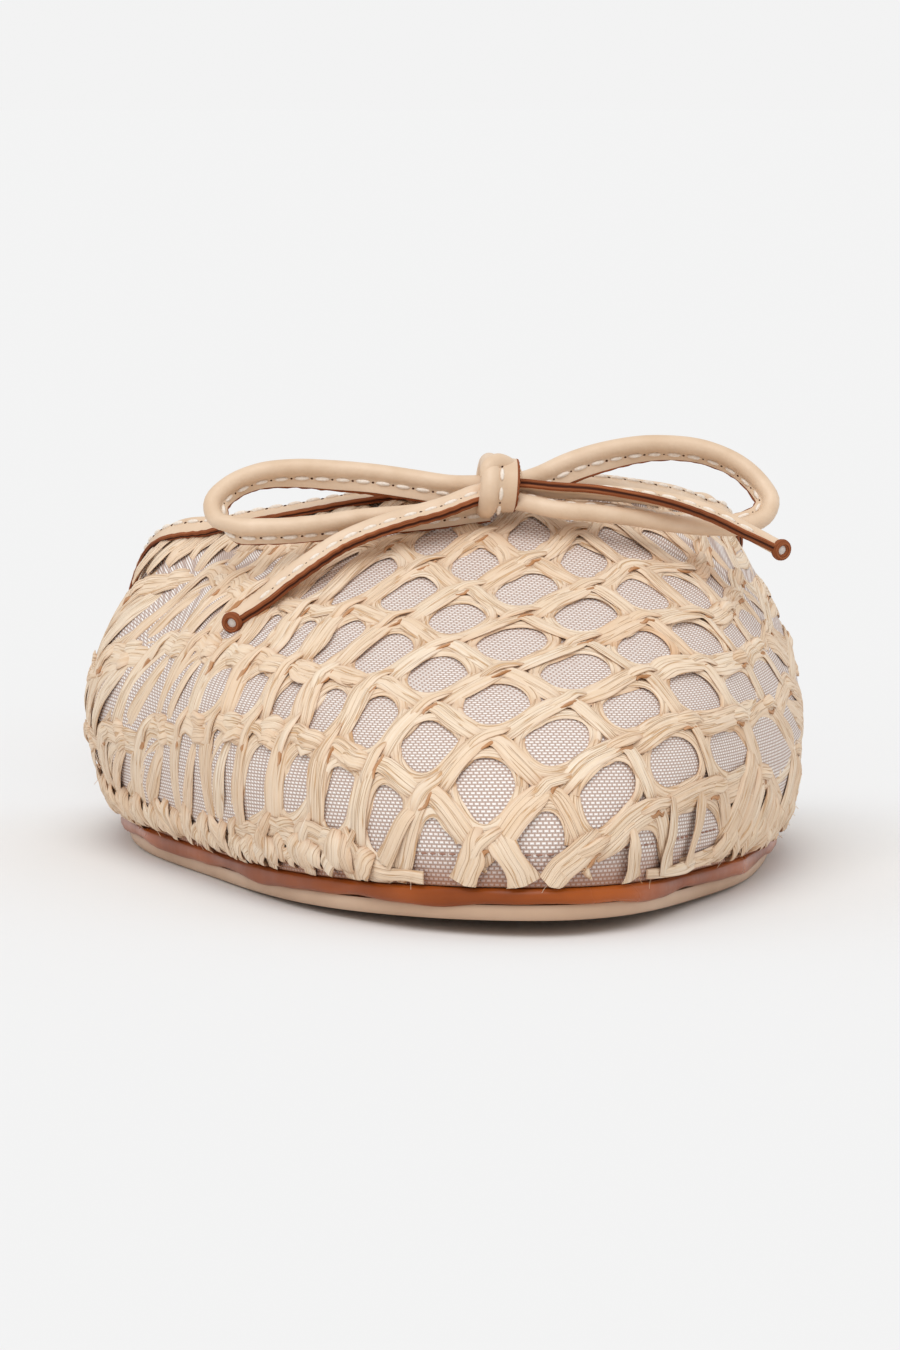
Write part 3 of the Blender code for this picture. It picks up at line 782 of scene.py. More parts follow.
def placeOn(line, along):
    return np.interp(along, line["along"], line["turn"]), np.interp(along, line["along"], line["rise"])


def straightLine(start, end, steps=9):
    # a short line on the wall between two places given by turn and rise
    share = np.linspace(0.0, 1.0, steps)
    turn = start[0] + (end[0] - start[0]) * share
    rise = start[1] + (end[1] - start[1]) * share
    return wallLine(turn, rise)


bend = {"step": 0.25, "softness": 1.0, "reach": 0.97}


def bentLine(first, firstStart, firstEnd, second, secondStart, secondEnd):
    # follows one line up to a node and leaves along another, with a soft corner
    before = np.arange(firstStart, firstEnd, bend["step"])
    after = np.arange(secondStart, secondEnd, bend["step"])
    places = np.hstack([placeOn(first, before), placeOn(second, after)])
    width = min(int(3.0 * bend["softness"] / bend["step"]), places.shape[1] - 2)
    kernel = np.exp(-0.5 * (np.arange(-width, width + 1) * bend["step"] / bend["softness"]) ** 2)
    kernel /= kernel.sum()
    soft = []
    for values in places:
        head = 2.0 * values[0] - values[width:0:-1]
        tail = 2.0 * values[-1] - values[-2:-width - 2:-1]
        soft.append(np.convolve(np.concatenate([head, values, tail]), kernel, "valid"))
    line = wallLine(*soft)
    line["corner"] = line["along"][len(before)]
    return line


def randomFold():
    tan = rng.uniform() < raffia["tanShare"]
    return {
        "pitch": rng.uniform(*raffia["foldPitch"]),
        "depth": rng.uniform(*raffia["foldDepth"]),
        "drift": rng.normal(0.0, raffia["foldDrift"]),
        "phase": rng.uniform(0.0, 1.0),
        "over": rng.uniform(*raffia["foldOver"]),
        "overFrom": rng.uniform(*raffia["overFrom"]),
        "overSide": rng.choice((-1.0, 1.0)),
        "roll": math.radians(rng.normal(0.0, raffia["roll"])),
        "wander": rng.normal(0.0, raffia["wander"], (5, 3)) * (1.0, 0.3, 0.7),
        "tone": rng.uniform(*raffia["tanTone" if tan else "tone"]),
        "place": rng.uniform(0.0, 400.0, 2),
    }


def addStrand(batch, line, table, width=1.0, lift=0.0, sideways=0.0, crown=raffia["crown"]):
    # table: place along the line, sideways, lift, width, painted shade
    fold = randomFold()
    first, last = max(table[0, 0], line["along"][0]), min(table[-1, 0], line["along"][-1])
    count = int(np.clip((last - first) / raffia["stationStep"], *raffia["stations"])) + 1
    along = np.linspace(first, last, count)
    turn, rise = placeOn(line, along)
    clear = along[(rise >= raffia["lowest"]) & (rise <= ribLength(turn) - raffia["headRoom"])]
    if len(clear) < 3:
        return
    along = np.linspace(clear[0], clear[-1], count)
    shape = spline(table[:, 0], table[:, 1:], along)
    wander = spline(np.linspace(along[0], along[-1], 5), fold["wander"], along)
    turn, rise = placeOn(line, along)
    centre, normal = onWall(turn, np.maximum(rise, raffia["lowest"]))
    forward = unit(np.gradient(centre, axis=0))
    side = unit(np.cross(normal, forward))
    normal = np.cross(forward, side)
    a = np.linspace(-1.0, 1.0, raffia["topPoints"])
    wide = np.maximum(shape[:, 2:3] * width * (1.0 + wander[:, 2:3]), raffia["narrowest"])
    across = a * wide / 2.0
    wave = fold["phase"] + along[:, None] * fold["drift"] + across / fold["pitch"]
    ridge = 2.0 * np.abs(2.0 * (wave - np.floor(wave + 0.5))) - 1.0
    doubled = fold["over"] * ease((a * fold["overSide"] - fold["overFrom"]) / 0.2)
    top = crown * (1.0 - np.abs(a) ** 3) + (fold["depth"] * ridge + doubled) * (1.0 - a**6)
    under = np.array([0.86, 0.0, -0.86])
    across = np.hstack([across, under * wide / 2.0])
    height = np.hstack([top * np.minimum(1.0, wide / 1.2), np.full((count, 3), -raffia["base"])])
    c, s = math.cos(fold["roll"]), math.sin(fold["roll"])
    move = across * c - height * s + shape[:, 0:1] + wander[:, 0:1] + sideways
    up = across * s + height * c + shape[:, 1:2] + wander[:, 1:2] + lift
    points = centre[:, None] + side[:, None] * move[..., None] + normal[:, None] * up[..., None]
    below = np.minimum(points[..., 2] - footHeight(points[..., 1]) - raffia["clear"], 0.0)
    points[..., 2] -= 0.8 * below
    # painted shade along the strand's side edges and on its underside
    edge = np.concatenate([raffia["edgeShade"] * np.abs(a) ** 6, [0.10, 0.15, 0.10]])
    tuck = np.clip(shape[:, 3:4] + edge, 0.0, 1.0)
    shift, shiftAcross = fold["place"]
    uv = np.stack(np.broadcast_arrays(along[:, None] + shift, across + shiftAcross), axis=-1)
    addLoft(batch, points, uv, tuck=tuck, tone=fold["tone"])


def spanTable(plan, start, end, flareStart=1.0, flareEnd=1.0):
    table = np.array(plan)
    table[:, 0] = start + table[:, 0] * (end - start)
    table[0, 3] *= flareStart
    table[-1, 3] *= flareEnd
    return table


def addLeaf(batch, leaf, plan, **form):
    addStrand(batch, leaf, spanTable(plan, 0.0, leaf["along"][-1]), **form)


def bendTable(plan, line, widthBefore, widthAfter, flareStart=1.0, flareEnd=1.0):
    table = np.array(plan)
    share = table[:, 0].copy()
    corner, end = line["corner"], line["along"][-1]
    table[:, 0] = np.where(share < 0.0, corner * (1.0 + share), corner + (end - corner) * share)
    blend = ease(share * 2.0 + 0.5)
    table[:, 3] *= widthBefore + (widthAfter - widthBefore) * blend
    table[:2, 3] *= (flareStart, 0.5 + 0.5 * flareStart)
    table[-2:, 3] *= (0.5 + 0.5 * flareEnd, flareEnd)
    return table


broaden = {
    "outerFrom": -0.06,
    "outerSpan": 0.18,
    "innerFrom": 0.14,
    "innerSpan": 0.2,
    "post": (1.18, 0.22),  # in front, and more on the outer side
    "row": (0.96, 0.16, 0.28),  # in front, more on the outer side, more on the inner side
}


def outerShare(turn):
    return float(ease((broaden["outerFrom"] - turn) / broaden["outerSpan"]))


def strandWidths(turn):
    # strands broaden where the net turns away to either side
    outer = outerShare(turn)
    inner = float(ease((turn - broaden["innerFrom"]) / broaden["innerSpan"]))
    post, postOuter = broaden["post"]
    row, rowOuter, rowInner = broaden["row"]
    return post + postOuter * outer, row + rowOuter * outer + rowInner * inner


front = (-0.112, 0.145)  # the turns where separate broad ends reach the sole


def atFront(turn):
    return (turn > front[0]) & (turn < front[1])


def endsAtSole(line, along):
    turn, rise = placeOn(line, along)
    return rise < raffia["soleReach"], bool(atFront(turn))


def flareAt(line, along):
    return raffia["flare"] if endsAtSole(line, along)[0] else 1.0


posts, rows = netLines("post"), netLines("row")
netGrid = {"turn": np.linspace(firstTurn, lastTurn, 1200)}
netGrid["form"] = tableAt(netForm, netGrid["turn"])
netGrid["length"] = ribLength(netGrid["turn"])


def addBase(batch):
    for lines, plan in ((posts, postBase), (rows, rowBase)):
        for line in lines:
            for start, end in zip(line["stops"], line["stops"][1:]):
                if all(endsAtSole(line, start)) or all(endsAtSole(line, end)):
                    continue
                table = spanTable(plan, start, end, flareAt(line, start), flareAt(line, end))
                postWide, rowWide = strandWidths(placeOn(line, (start + end) / 2.0)[0])
                addStrand(batch, line, table, width=postWide if lines is posts else rowWide)


def netNodes():
    found = []
    for post in posts:
        for before, place in zip(post["stops"], post["stops"][1:-1]):
            turn = placeOn(post, place)[0]
            number = round(np.interp(place, post["along"], post["count"]))
            crossed = [
                row for row in rows
                if row["number"] == number and row["turn"][0] <= turn <= row["turn"][-1]
            ]
            if not crossed:
                continue
            row = crossed[0]
            rowPlace = np.interp(turn, row["turn"], row["along"])
            behind = [stop for stop in row["stops"] if stop < rowPlace - raffia["nodeGap"]]
            ahead = [stop for stop in row["stops"] if stop > rowPlace + raffia["nodeGap"]]
            if behind and ahead:
                found.append((turn, (post, before, place), (row, behind[-1], rowPlace, ahead[0])))
    return found


window = {
    "half": 0.46,
    "wide": 0.86,
    "tall": 1.07,
    "power": 2.15,
    "outerShrink": 0.07,
    "lap": 10.0,
    "points": 25,
    "fewest": 5,
    "knots": 7,
    "foot": 1.8,
    "frontFoot": 4.6,
    "head": 0.4,
    "search": 12.0,
}


def latticeCells(beyond):
    # post and row numbers of every window, and of some beyond the net
    postNumbers = [post["number"] for post in posts]
    rowNumbers = [row["number"] for row in rows]
    for post in range(min(postNumbers) - beyond, max(postNumbers) + beyond):
        for row in range(min(rowNumbers) - beyond, max(rowNumbers) + beyond):
            yield post, row


def latticePlace(post, row):
    # turn and rise of a place given by its post and row counts
    form = netGrid["form"]
    rise = (post - form[:, 0]) / form[:, 1] * 10.0
    near = (rise > -window["search"]) & (rise < netGrid["length"] + window["search"])
    if near.sum() < 2:
        return np.nan, np.nan
    count = np.maximum.accumulate((form[:, 2] + form[:, 3] * rise / 10.0)[near])
    if not count[0] <= row <= count[-1]:
        return np.nan, np.nan
    return np.interp(row, count, netGrid["turn"][near]), np.interp(row, count, rise[near])


def windowArc(post, row, start, end):
    # half of the rounded window between two posts and two rows
    angle = np.radians(np.linspace(start, end, window["points"]))
    power = 2.0 / window["power"]
    middle = latticePlace(post + 0.5, row + 0.5)[0]
    outer = 0.0 if math.isnan(middle) else outerShare(middle)
    shrink = 1.0 - window["outerShrink"] * outer
    along = window["half"] * blunt(np.cos(angle), power) * shrink
    across = window["half"] * blunt(np.sin(angle), power) * shrink
    wide = window["wide"] + (1.0 - window["wide"]) * outer
    tall = window["tall"] + (1.0 - window["tall"]) * outer
    both, other = wide * (along + across) / 2.0, tall * (along - across) / 2.0
    places = zip(post + 0.5 + both + other, row + 0.5 + both - other)
    return np.array([latticePlace(p, q) for p, q in places]).T


def addArc(batch, places, plan):
    turn, rise = places
    with np.errstate(invalid="ignore"):
        low = np.where(atFront(turn), window["frontFoot"], window["foot"])
        inside = (rise > low) & (rise < ribLength(turn) - window["head"])
    for start, end in stretches(inside):
        if end - start < window["fewest"]:
            continue
        part = slice(start, end)
        line = wallLine(turn[part], rise[part])
        first, last = start / (len(turn) - 1), (end - 1) / (len(turn) - 1)
        table = np.array(plan)
        share = np.linspace(first, last, window["knots"])
        form = spline(table[:, 0], table[:, 1:], share)
        table = np.column_stack([(share - first) / (last - first) * line["along"][-1], form])
        addStrand(batch, line, table, width=0.5 * sum(strandWidths(float(turn[part].mean()))))


def addWindows(over, under):
    lap = window["lap"]
    for post, row in latticeCells(1):
        addArc(over, windowArc(post, row, 225.0 + lap, 45.0 - lap), overArc)
        addArc(under, windowArc(post, row, 225.0 - lap, 405.0 + lap), underArc)


crossing = {
    "frontReach": 0.4,
    "outerSpread": 1.4,
    "outerShift": -0.15,
    "jitter": 0.15,
    "gapFrom": 0.6,
    "pleatFrom": 0.3,
    "pleatEnd": -0.43,
    "pleats": ((-0.45, 0.75), (0.1, -0.8)),  # share of the way along the row, sideways
    "pleatLength": 5.2,
    "pleatVary": 0.4,
    "pleatWidth": 0.8,
    "pleatLift": -0.02,
}


def addNodes(over, small):
    for turn, (post, below, place), (row, left, rowPlace, right) in netNodes():
        outer = outerShare(turn)
        down = crossing["frontReach"] if all(endsAtSole(post, below)) else bend["reach"]
        along = crossing["frontReach"] if all(endsAtSole(row, right)) else bend["reach"]
        start = place - down * (place - below)
        end = rowPlace + along * (right - rowPlace)
        line = bentLine(post, start, place, row, rowPlace, end)
        flares = flareAt(post, below), flareAt(row, right)
        table = bendTable(acrossPly, line, *strandWidths(turn), *flares)
        table[:, 1] *= 1.0 + crossing["outerSpread"] * outer
        addStrand(over, line, table, sideways=crossing["outerShift"] * outer)
        # a lip over each node and, below it, a dark strand of painted shade
        for plan in (lipPly, gapShadePly if outer > crossing["gapFrom"] else slitShadePly):
            table = np.array(plan)
            table[:, 0] += place + rng.normal(0.0, crossing["jitter"])
            addStrand(small, post, table)
        if outer > crossing["pleatFrom"] and turn > crossing["pleatEnd"]:
            form = {"width": crossing["pleatWidth"], "lift": crossing["pleatLift"]}
            for shift, sideways in crossing["pleats"]:
                start = rowPlace + shift * (right - left)
                end = start + crossing["pleatLength"] + rng.normal(0.0, crossing["pleatVary"])
                addStrand(over, row, spanTable(leafPly, start, end), sideways=sideways * outer, **form)


chain = {
    "outer": (-0.492, -0.125),
    "inner": (0.205, 0.485),
    "rise": 2.5,
    "pitch": 2.0,
    "startGap": 0.3,
    "endGap": 4.5,
    "slant": (1.0, 3.4),
    "low": 0.7,
    "lowVary": 0.6,
    "height": (3.4, 6.2),
    "crossed": 0.25,
    "width": (0.8, 1.15),
    "lift": (-0.1, 0.2),
    "crown": 0.45,
}


def addFootChain(batch):
    # lapped ends that close the net along the sole
    for name in ("outer", "inner"):
        turn = np.linspace(*chain[name], 600)
        run = runLength(onWall(turn, chain["rise"])[0])
        for place in np.arange(chain["startGap"], run[-1] - chain["endGap"], chain["pitch"]):
            low = chain["low"] + rng.uniform(0.0, chain["lowVary"])
            high = rng.uniform(*chain["height"])
            near, far = np.interp([place, place + rng.uniform(*chain["slant"])], run, turn)
            if rng.uniform() < chain["crossed"]:
                near, far = far, near
            leaf = straightLine((near, low), (far, high))
            width, lift = rng.uniform(*chain["width"]), rng.uniform(*chain["lift"])
            addLeaf(batch, leaf, footPly, width=width, lift=lift, crown=chain["crown"])


leaves = {
    "span": (0.215, 0.46),
    "rise": 3.0,
    "pitch": 2.3,
    "endGap": 4.0,
    "slant": (0.2, 2.4),
    "shortest": 4.5,
    "foot": 0.8,
    "lap": 0.4,
    "width": (0.85, 1.2),
    "lift": (-0.3, 0.0),
    "crown": 0.45,
}


def addFootLeaves(batch):
    # broad ends on the inner side, from the first row of the net down to the sole
    turn = np.linspace(*leaves["span"], 400)
    run = runLength(onWall(turn, leaves["rise"])[0])
    for place in np.arange(0.0, run[-1] - leaves["endGap"], leaves["pitch"]):
        near, far = np.interp([place, place + rng.uniform(*leaves["slant"])], run, turn)
        count, step = tableAt(netForm, np.array([far]))[0, 2:]
        first = math.ceil(count + step * leaves["shortest"] / 10.0)
        top = (first - count) / step * 10.0 + leaves["lap"]
        leaf = straightLine((near, leaves["foot"]), (far, top))
        width, lift = rng.uniform(*leaves["width"]), rng.uniform(*leaves["lift"])
        addLeaf(batch, leaf, bladePly, width=width, lift=lift, crown=leaves["crown"])


headLeaves = {
    "span": (-0.392, -0.05),
    "below": 3.0,
    "pitch": 3.0,
    "endGap": 6.0,
    "slant": (2.0, 4.5),
    "drop": (5.0, 9.0),
    "lowest": 1.0,
    "bare": 0.9,
    "width": (0.65, 0.95),
    "lift": (-0.05, 0.15),
    "proud": 0.3,
    "proudFrom": -0.31,
    "proudSpan": 0.08,
}


def addHeadLeaves(batch):
    # slanting ends that run up under the binding of the outer side
    turn = np.linspace(*headLeaves["span"], 500)
    run = runLength(onWall(turn, ribLength(turn) - headLeaves["below"])[0])
    for place in np.arange(0.0, run[-1] - headLeaves["endGap"], headLeaves["pitch"]):
        near, far = np.interp([place, place + rng.uniform(*headLeaves["slant"])], run, turn)
        low = max(headLeaves["lowest"], ribLength(near) - rng.uniform(*headLeaves["drop"]))
        leaf = straightLine((near, low), (far, ribLength(far) - headLeaves["bare"]))
        rear = float(ease((headLeaves["proudFrom"] - near) / headLeaves["proudSpan"]))
        width = rng.uniform(*headLeaves["width"])
        lift = rng.uniform(*headLeaves["lift"]) + headLeaves["proud"] * rear
        addLeaf(batch, leaf, bladePly, width=width, lift=lift)


midStrands = {
    "outer": -0.262,
    "inner": 0.30,
    "foot": 1.0,
    "head": 2.5,
    "width": (0.72, 0.95),
    "lift": (-0.5, -0.25),
}


def addMidStrands(batch):
    # towards the back of both sides every window has a second upright strand
    for post, row in latticeCells(2):
        width, lift = rng.uniform(*midStrands["width"]), rng.uniform(*midStrands["lift"])
        outer = latticePlace(post + 0.46, row - 0.04), latticePlace(post + 0.54, row + 1.04)
        inner = latticePlace(post + 1.04, row + 0.54), latticePlace(post - 0.04, row + 0.46)
        for side, name, (start, end) in ((-1.0, "outer", outer), (1.0, "inner", inner)):
            if not np.isfinite(start + end).all() or min(start[1], end[1]) < midStrands["foot"]:
                continue
            if max(rise - ribLength(turn) for turn, rise in (start, end)) > -midStrands["head"]:
                continue
            if side * (start[0] - midStrands[name]) > 0.0:
                addLeaf(batch, straightLine(start, end), footPly, width=width, lift=lift)


frontEnds = (  # turn, rise and width at the start, turn, rise and width at the end
    (-0.049, 6.9, 2.4, -0.068, 0.4, 3.7),
    (-0.038, 6.6, 2.6, -0.015, 0.4, 4.1),
    (0.050, 6.0, 2.4, 0.002, 0.6, 3.4),
    (0.083, 6.9, 1.5, 0.095, 0.4, 3.9),
    (0.123, 10.0, 2.0, 0.138, 0.8, 2.8),
    (0.158, 11.0, 2.6, 0.173, 0.9, 3.0),
    (-0.089, 9.8, 2.2, -0.127, 2.6, 2.4),
    (-0.150, 6.4, 1.6, -0.143, 0.4, 3.6),
    (0.118, 0.9, 1.5, 0.207, 1.3, 1.7),
    (0.165, 1.3, 1.6, 0.245, 2.2, 2.0),
    (-0.150, 1.8, 1.5, -0.098, 0.8, 1.6),
)


def addFrontEnds(batch):
    # broad flat cut ends at the toe
    for startTurn, startRise, startWidth, endTurn, endRise, endWidth in frontEnds:
        end = straightLine((startTurn, startRise), (endTurn, endRise), steps=16)
        middle = (startWidth + endWidth) / 2.0
        plan = (
            (0.0, 0.0, -0.30, startWidth * 0.7, 0.25),
            (0.2, 0.0, 0.06, startWidth, 0.0),
            (0.55, 0.0, 0.16, middle, 0.0),
            (1.0, 0.0, 0.06, endWidth, 0.0),
        )
        addLeaf(batch, end, plan, crown=raffia["flatCrown"])


netParts = ("strands", "window_tops", "window_feet", "bends", "crossings", "foot")
net = {name: newBatch() for name in netParts}
addBase(net["strands"])
addWindows(net["window_tops"], net["window_feet"])
addNodes(net["bends"], net["crossings"])
addFootChain(net["foot"])
addFootLeaves(net["foot"])
addHeadLeaves(net["bends"])
addMidStrands(net["bends"])
addFrontEnds(net["foot"])
netPieces = [finishPiece("raffia_" + name, net[name], "raffia") for name in netParts]
print("raffia net ready:", sum(len(p.data.polygons) for p in netPieces), "faces")


# Mesh lining under the net

lining = {
    "lift": -0.58,
    "sideLift": 0.48,
    "sideFrom": 0.14,
    "sideSpan": 0.14,
    "rearFrom": 0.33,
    "rearSpan": 0.06,
    "rearDrop": 0.85,
    "thickness": 1.3,
    "turns": 181,
    "levels": 40,
    "headRoom": 0.2,
    "footShade": 0.8,
    "footFade": (1.0, 3.0),
}


def liningLift(turn):
    # the lining lies closer under the strands at both sides of the ball
    away = np.abs(turn)
    beside = ease((away - lining["sideFrom"]) / lining["sideSpan"])
    rear = ease((away - lining["rearFrom"]) / lining["rearSpan"])
    return (lining["lift"] + lining["sideLift"] * beside * (1.0 - lining["rearDrop"] * rear))[..., None]


def makeLiningShell():
    turn = np.linspace(firstTurn, lastTurn, lining["turns"])
    share = np.linspace(0.0, 1.0, lining["levels"])
    turns, shares = np.meshgrid(turn, share, indexing="ij")
    rise = shares * (ribLength(turns) - lining["headRoom"])
    points, normal = onWall(turns, rise)
    outer = points + normal * liningLift(turns)
    inner = outer - normal * lining["thickness"]
    steps = np.linalg.norm(np.diff(outer, axis=0), axis=2)
    run = np.concatenate([np.zeros((1, len(share))), np.cumsum(steps, axis=0)])
    run = run - run[len(turn) // 2]
    uv = np.stack([run, rise], axis=-1)
    # painted shade on the lining's lowest part, fading out between 1 and 3 mm up
    low, high = lining["footFade"]
    foot = lining["footShade"] * (1.0 - ease((rise - low) / (high - low)))
    size = len(share)
    count = len(turn) * size
    faces = loftFaces(len(turn), size, closed=False, capped=False)
    faces += [tuple(count + c for c in reversed(face)) for face in faces]
    for row in range(len(turn) - 1):
        for level in (0, size - 1):
            a = row * size + level
            faces.append((a, a + size, a + size + count, a + count))
    for row in (0, (len(turn) - 1) * size):
        for level in range(size - 1):
            a = row + level
            faces.append((a, a + 1, a + 1 + count, a + count))
    batch = newBatch()
    addPart(batch, outer, faces, uv, foot=foot)
    addPart(batch, inner, [], uv, foot=np.zeros(count))
    return finishPiece("lining_mesh", batch, "lining", "weave")


liningPiece = makeLiningShell()
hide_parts("upper")
print("lining ready")


# Stitches and stray fibres by Geometry Nodes


def newGeometryTree(name, seed, **sizes):
    # named inputs for the sizes, a fixed seed and the material
    flow = ("Geometry", "NodeSocketGeometry")
    inputs = [flow + (None,)]
    inputs += [(title, "NodeSocketFloat", value) for title, value in sizes.items()]
    inputs += [("Seed", "NodeSocketInt", seed), ("Material", "NodeSocketMaterial", None)]
    return newGroup(name, inputs, [flow], "GeometryNodeTree")


def randomFloat(tree, low, high, seed):
    links = {2: low, 3: high, "Seed": seed}
    return addNode(tree, "FunctionNodeRandomValue", links, data_type="FLOAT").outputs[1]


def scatter(tree, result, links, material, smooth=False):
    # instances on points, made real and given their material
    made = addNode(tree, "GeometryNodeInstanceOnPoints", links).outputs[0]
    made = addNode(tree, "GeometryNodeRealizeInstances", {"Geometry": made}).outputs[0]
    if smooth:
        made = addNode(tree, "GeometryNodeSetShadeSmooth", {"Geometry": made}).outputs[0]
    made = addNode(tree, "GeometryNodeSetMaterial", {"Geometry": made, "Material": material}).outputs[0]
    tree.links.new(made, result.inputs[0])


def makeStitchTree():
    sizes = {"Pitch": 0.0023, "Length": 0.0017, "Thickness": 0.0004}
    tree, source, result = newGeometryTree("stitchRun", 5, **sizes)
    value = source.outputs
    curve = addNode(tree, "GeometryNodeMeshToCurve", {"Mesh": value["Geometry"]}).outputs[0]
    links = {"Curve": curve, "Length": value["Pitch"]}
    run = addNode(tree, "GeometryNodeResampleCurve", links, mode="LENGTH").outputs[0]
    along = addNode(tree, "GeometryNodeInputTangent").outputs[0]
    outwards = addNode(tree, "GeometryNodeInputNamedAttribute", {"Name": "up"}, data_type="FLOAT_VECTOR")
    turned = addNode(tree, "FunctionNodeAlignRotationToVector", {"Vector": along}, axis="X")
    links = {"Rotation": turned.outputs[0], "Vector": outwards.outputs[0]}
    turned = addNode(tree, "FunctionNodeAlignRotationToVector", links, axis="Z", pivot_axis="X")
    ball = addNode(tree, "GeometryNodeMeshUVSphere", {"Segments": 8, "Rings": 6, "Radius": 0.5})
    links = {0: value["Length"], 1: value["Thickness"], 2: value["Thickness"]}
    even = addNode(tree, "ShaderNodeCombineXYZ", links).outputs[0]
    links = {0: even, "Scale": randomFloat(tree, 0.88, 1.08, value["Seed"])}
    size = addNode(tree, "ShaderNodeVectorMath", links, operation="SCALE").outputs[0]
    links = {"Points": run, "Instance": ball.outputs[0], "Rotation": turned.outputs[0], "Scale": size}
    scatter(tree, result, links, value["Material"], smooth=True)
    return tree


def makeFibreTree():
    sizes = {"Density": 30000.0, "Length": 0.003, "Thickness": 0.018}
    tree, source, result = newGeometryTree("strayFibres", 11, **sizes)
    value = source.outputs
    links = {"Mesh": value["Geometry"], "Density": value["Density"], "Seed": value["Seed"]}
    spots = addNode(tree, "GeometryNodeDistributePointsOnFaces", links).outputs
    links = {
        "Resolution": 5,
        "Start": (0.0, 0.0, 0.0),
        "Middle": (0.55, 0.1, 0.10),
        "End": (1.0, 0.0, 0.16),
    }
    curl = addNode(tree, "GeometryNodeCurveQuadraticBezier", links).outputs[0]
    links = {"Resolution": 4, "Radius": value["Thickness"]}
    section = addNode(tree, "GeometryNodeCurvePrimitiveCircle", links).outputs[0]
    hair = addNode(tree, "GeometryNodeCurveToMesh", {"Curve": curl, "Profile Curve": section}).outputs[0]
    links = {"Axis": (0.0, 0.0, 1.0), "Angle": randomFloat(tree, 0.0, 2.0 * math.pi, value["Seed"])}
    spin = addNode(tree, "FunctionNodeAxisAngleToRotation", links).outputs[0]
    links = {0: spots["Rotation"], 1: spin}
    turned = addNode(tree, "FunctionNodeRotateRotation", links, rotation_space="LOCAL").outputs[0]
    size = calc(tree, "MULTIPLY", randomFloat(tree, 0.4, 1.2, value["Seed"]), value["Length"])
    links = {"Points": spots[0], "Instance": hair, "Rotation": turned, "Scale": size}
    scatter(tree, result, links, value["Material"])
    return tree


stitchTree = makeStitchTree()


def runTree(piece, tree, values):
    modifier = piece.modifiers.new(tree.name, "NODES")
    modifier.node_group = tree
    for item in tree.interface.items_tree:
        if item.in_out == "INPUT" and item.name in values:
            modifier[item.identifier] = values[item.name]
    bpy.context.view_layer.update()
    shown = piece.evaluated_get(bpy.context.evaluated_depsgraph_get())
    made = bpy.data.meshes.new_from_object(shown)
    piece.modifiers.clear()
    old = piece.data
    piece.data = made
    made.name = piece.name
    bpy.data.meshes.remove(old)
    settle(piece)


def pathObject(name, runs):
    # each run: points and outward directions
    mesh = bpy.data.meshes.new(name)
    points, edges, ups = [], [], []
    for run, up in runs:
        start = len(points)
        points.extend(((run + rowShift) * mm).tolist())
        edges.extend((start + i, start + i + 1) for i in range(len(run) - 1))
        ups.append(up)
    mesh.from_pydata(points, edges, [])
    layer = mesh.attributes.new("up", "FLOAT_VECTOR", "POINT")
    layer.data.foreach_set("vector", np.concatenate(ups).astype(np.float32).ravel())
    return newObject(name, mesh)


def sew(name, runs, pitch, length, thickness, material):
    sizes = {"Pitch": pitch * mm, "Length": length * mm, "Thickness": thickness * mm}
    runTree(pathObject(name, runs), stitchTree, dict(sizes, Material=materials[material]))


lastingSeam = {
    "span": (-0.135, 0.2),
    "rise": 3.7,
    "climb": 6.0,
    "proud": 0.06,
    "stitch": (1.25, 0.9, 0.26),  # pitch, length, thickness
}


def sewLasting():
    # the row of stitches that draws the lining in above the sole
    turn = np.linspace(*lastingSeam["span"], 300)
    points, out = onWall(turn, lastingSeam["rise"] + lastingSeam["climb"] * np.abs(turn) * (turn > 0.0))
    run = (points + out * (liningLift(turn) + lastingSeam["proud"]), out)
    sew("lining_seam_stitches", [run], *lastingSeam["stitch"], "seam")


sewLasting()

fray = {"Density": 60000.0, "Length": 1.5 * mm, "Thickness": 0.018}


def addFray():
    # loose fibres where the raffia ends are cut
    piece = newObject("raffia_fray", netPieces[-1].data.copy())
    runTree(piece, makeFibreTree(), dict(fray, Material=materials["raffia"]))


addFray()

stitch = {
    "pitch": 2.4,
    "length": 1.85,
    "thickness": 0.56,
    "below": 0.28,
    "proud": 1.02,
    "hole": 0.42,
    "holeStretch": 1.3,
    "holeDepth": 0.3,
}


def sewRuns(name, runs):
    pitch, thickness, hole = stitch["pitch"], stitch["thickness"], stitch["hole"]
    sew(name + "_stitches", runs, pitch, stitch["length"], thickness, "thread")
    # dark blobs sunk between the stitches, painted shade for the thread's dimples
    between = []
    for run, up in runs:
        length = runLength(run)
        at = np.linspace(pitch / 2.0, length[-1] - pitch / 2.0, len(run))
        moved = np.column_stack([np.interp(at, length, run[:, axis]) for axis in range(3)])
        between.append((moved - up * thickness * stitch["holeDepth"], up))
    sew(name + "_needle_holes", between, pitch, hole * stitch["holeStretch"], hole, "hole")


# Corded leather: a cord wrapped in leather whose two layers make a sewn flange

piping = {"arcSteps": 20, "taper": 0.92, "taperHeight": 0.6, "clear": 0.15}


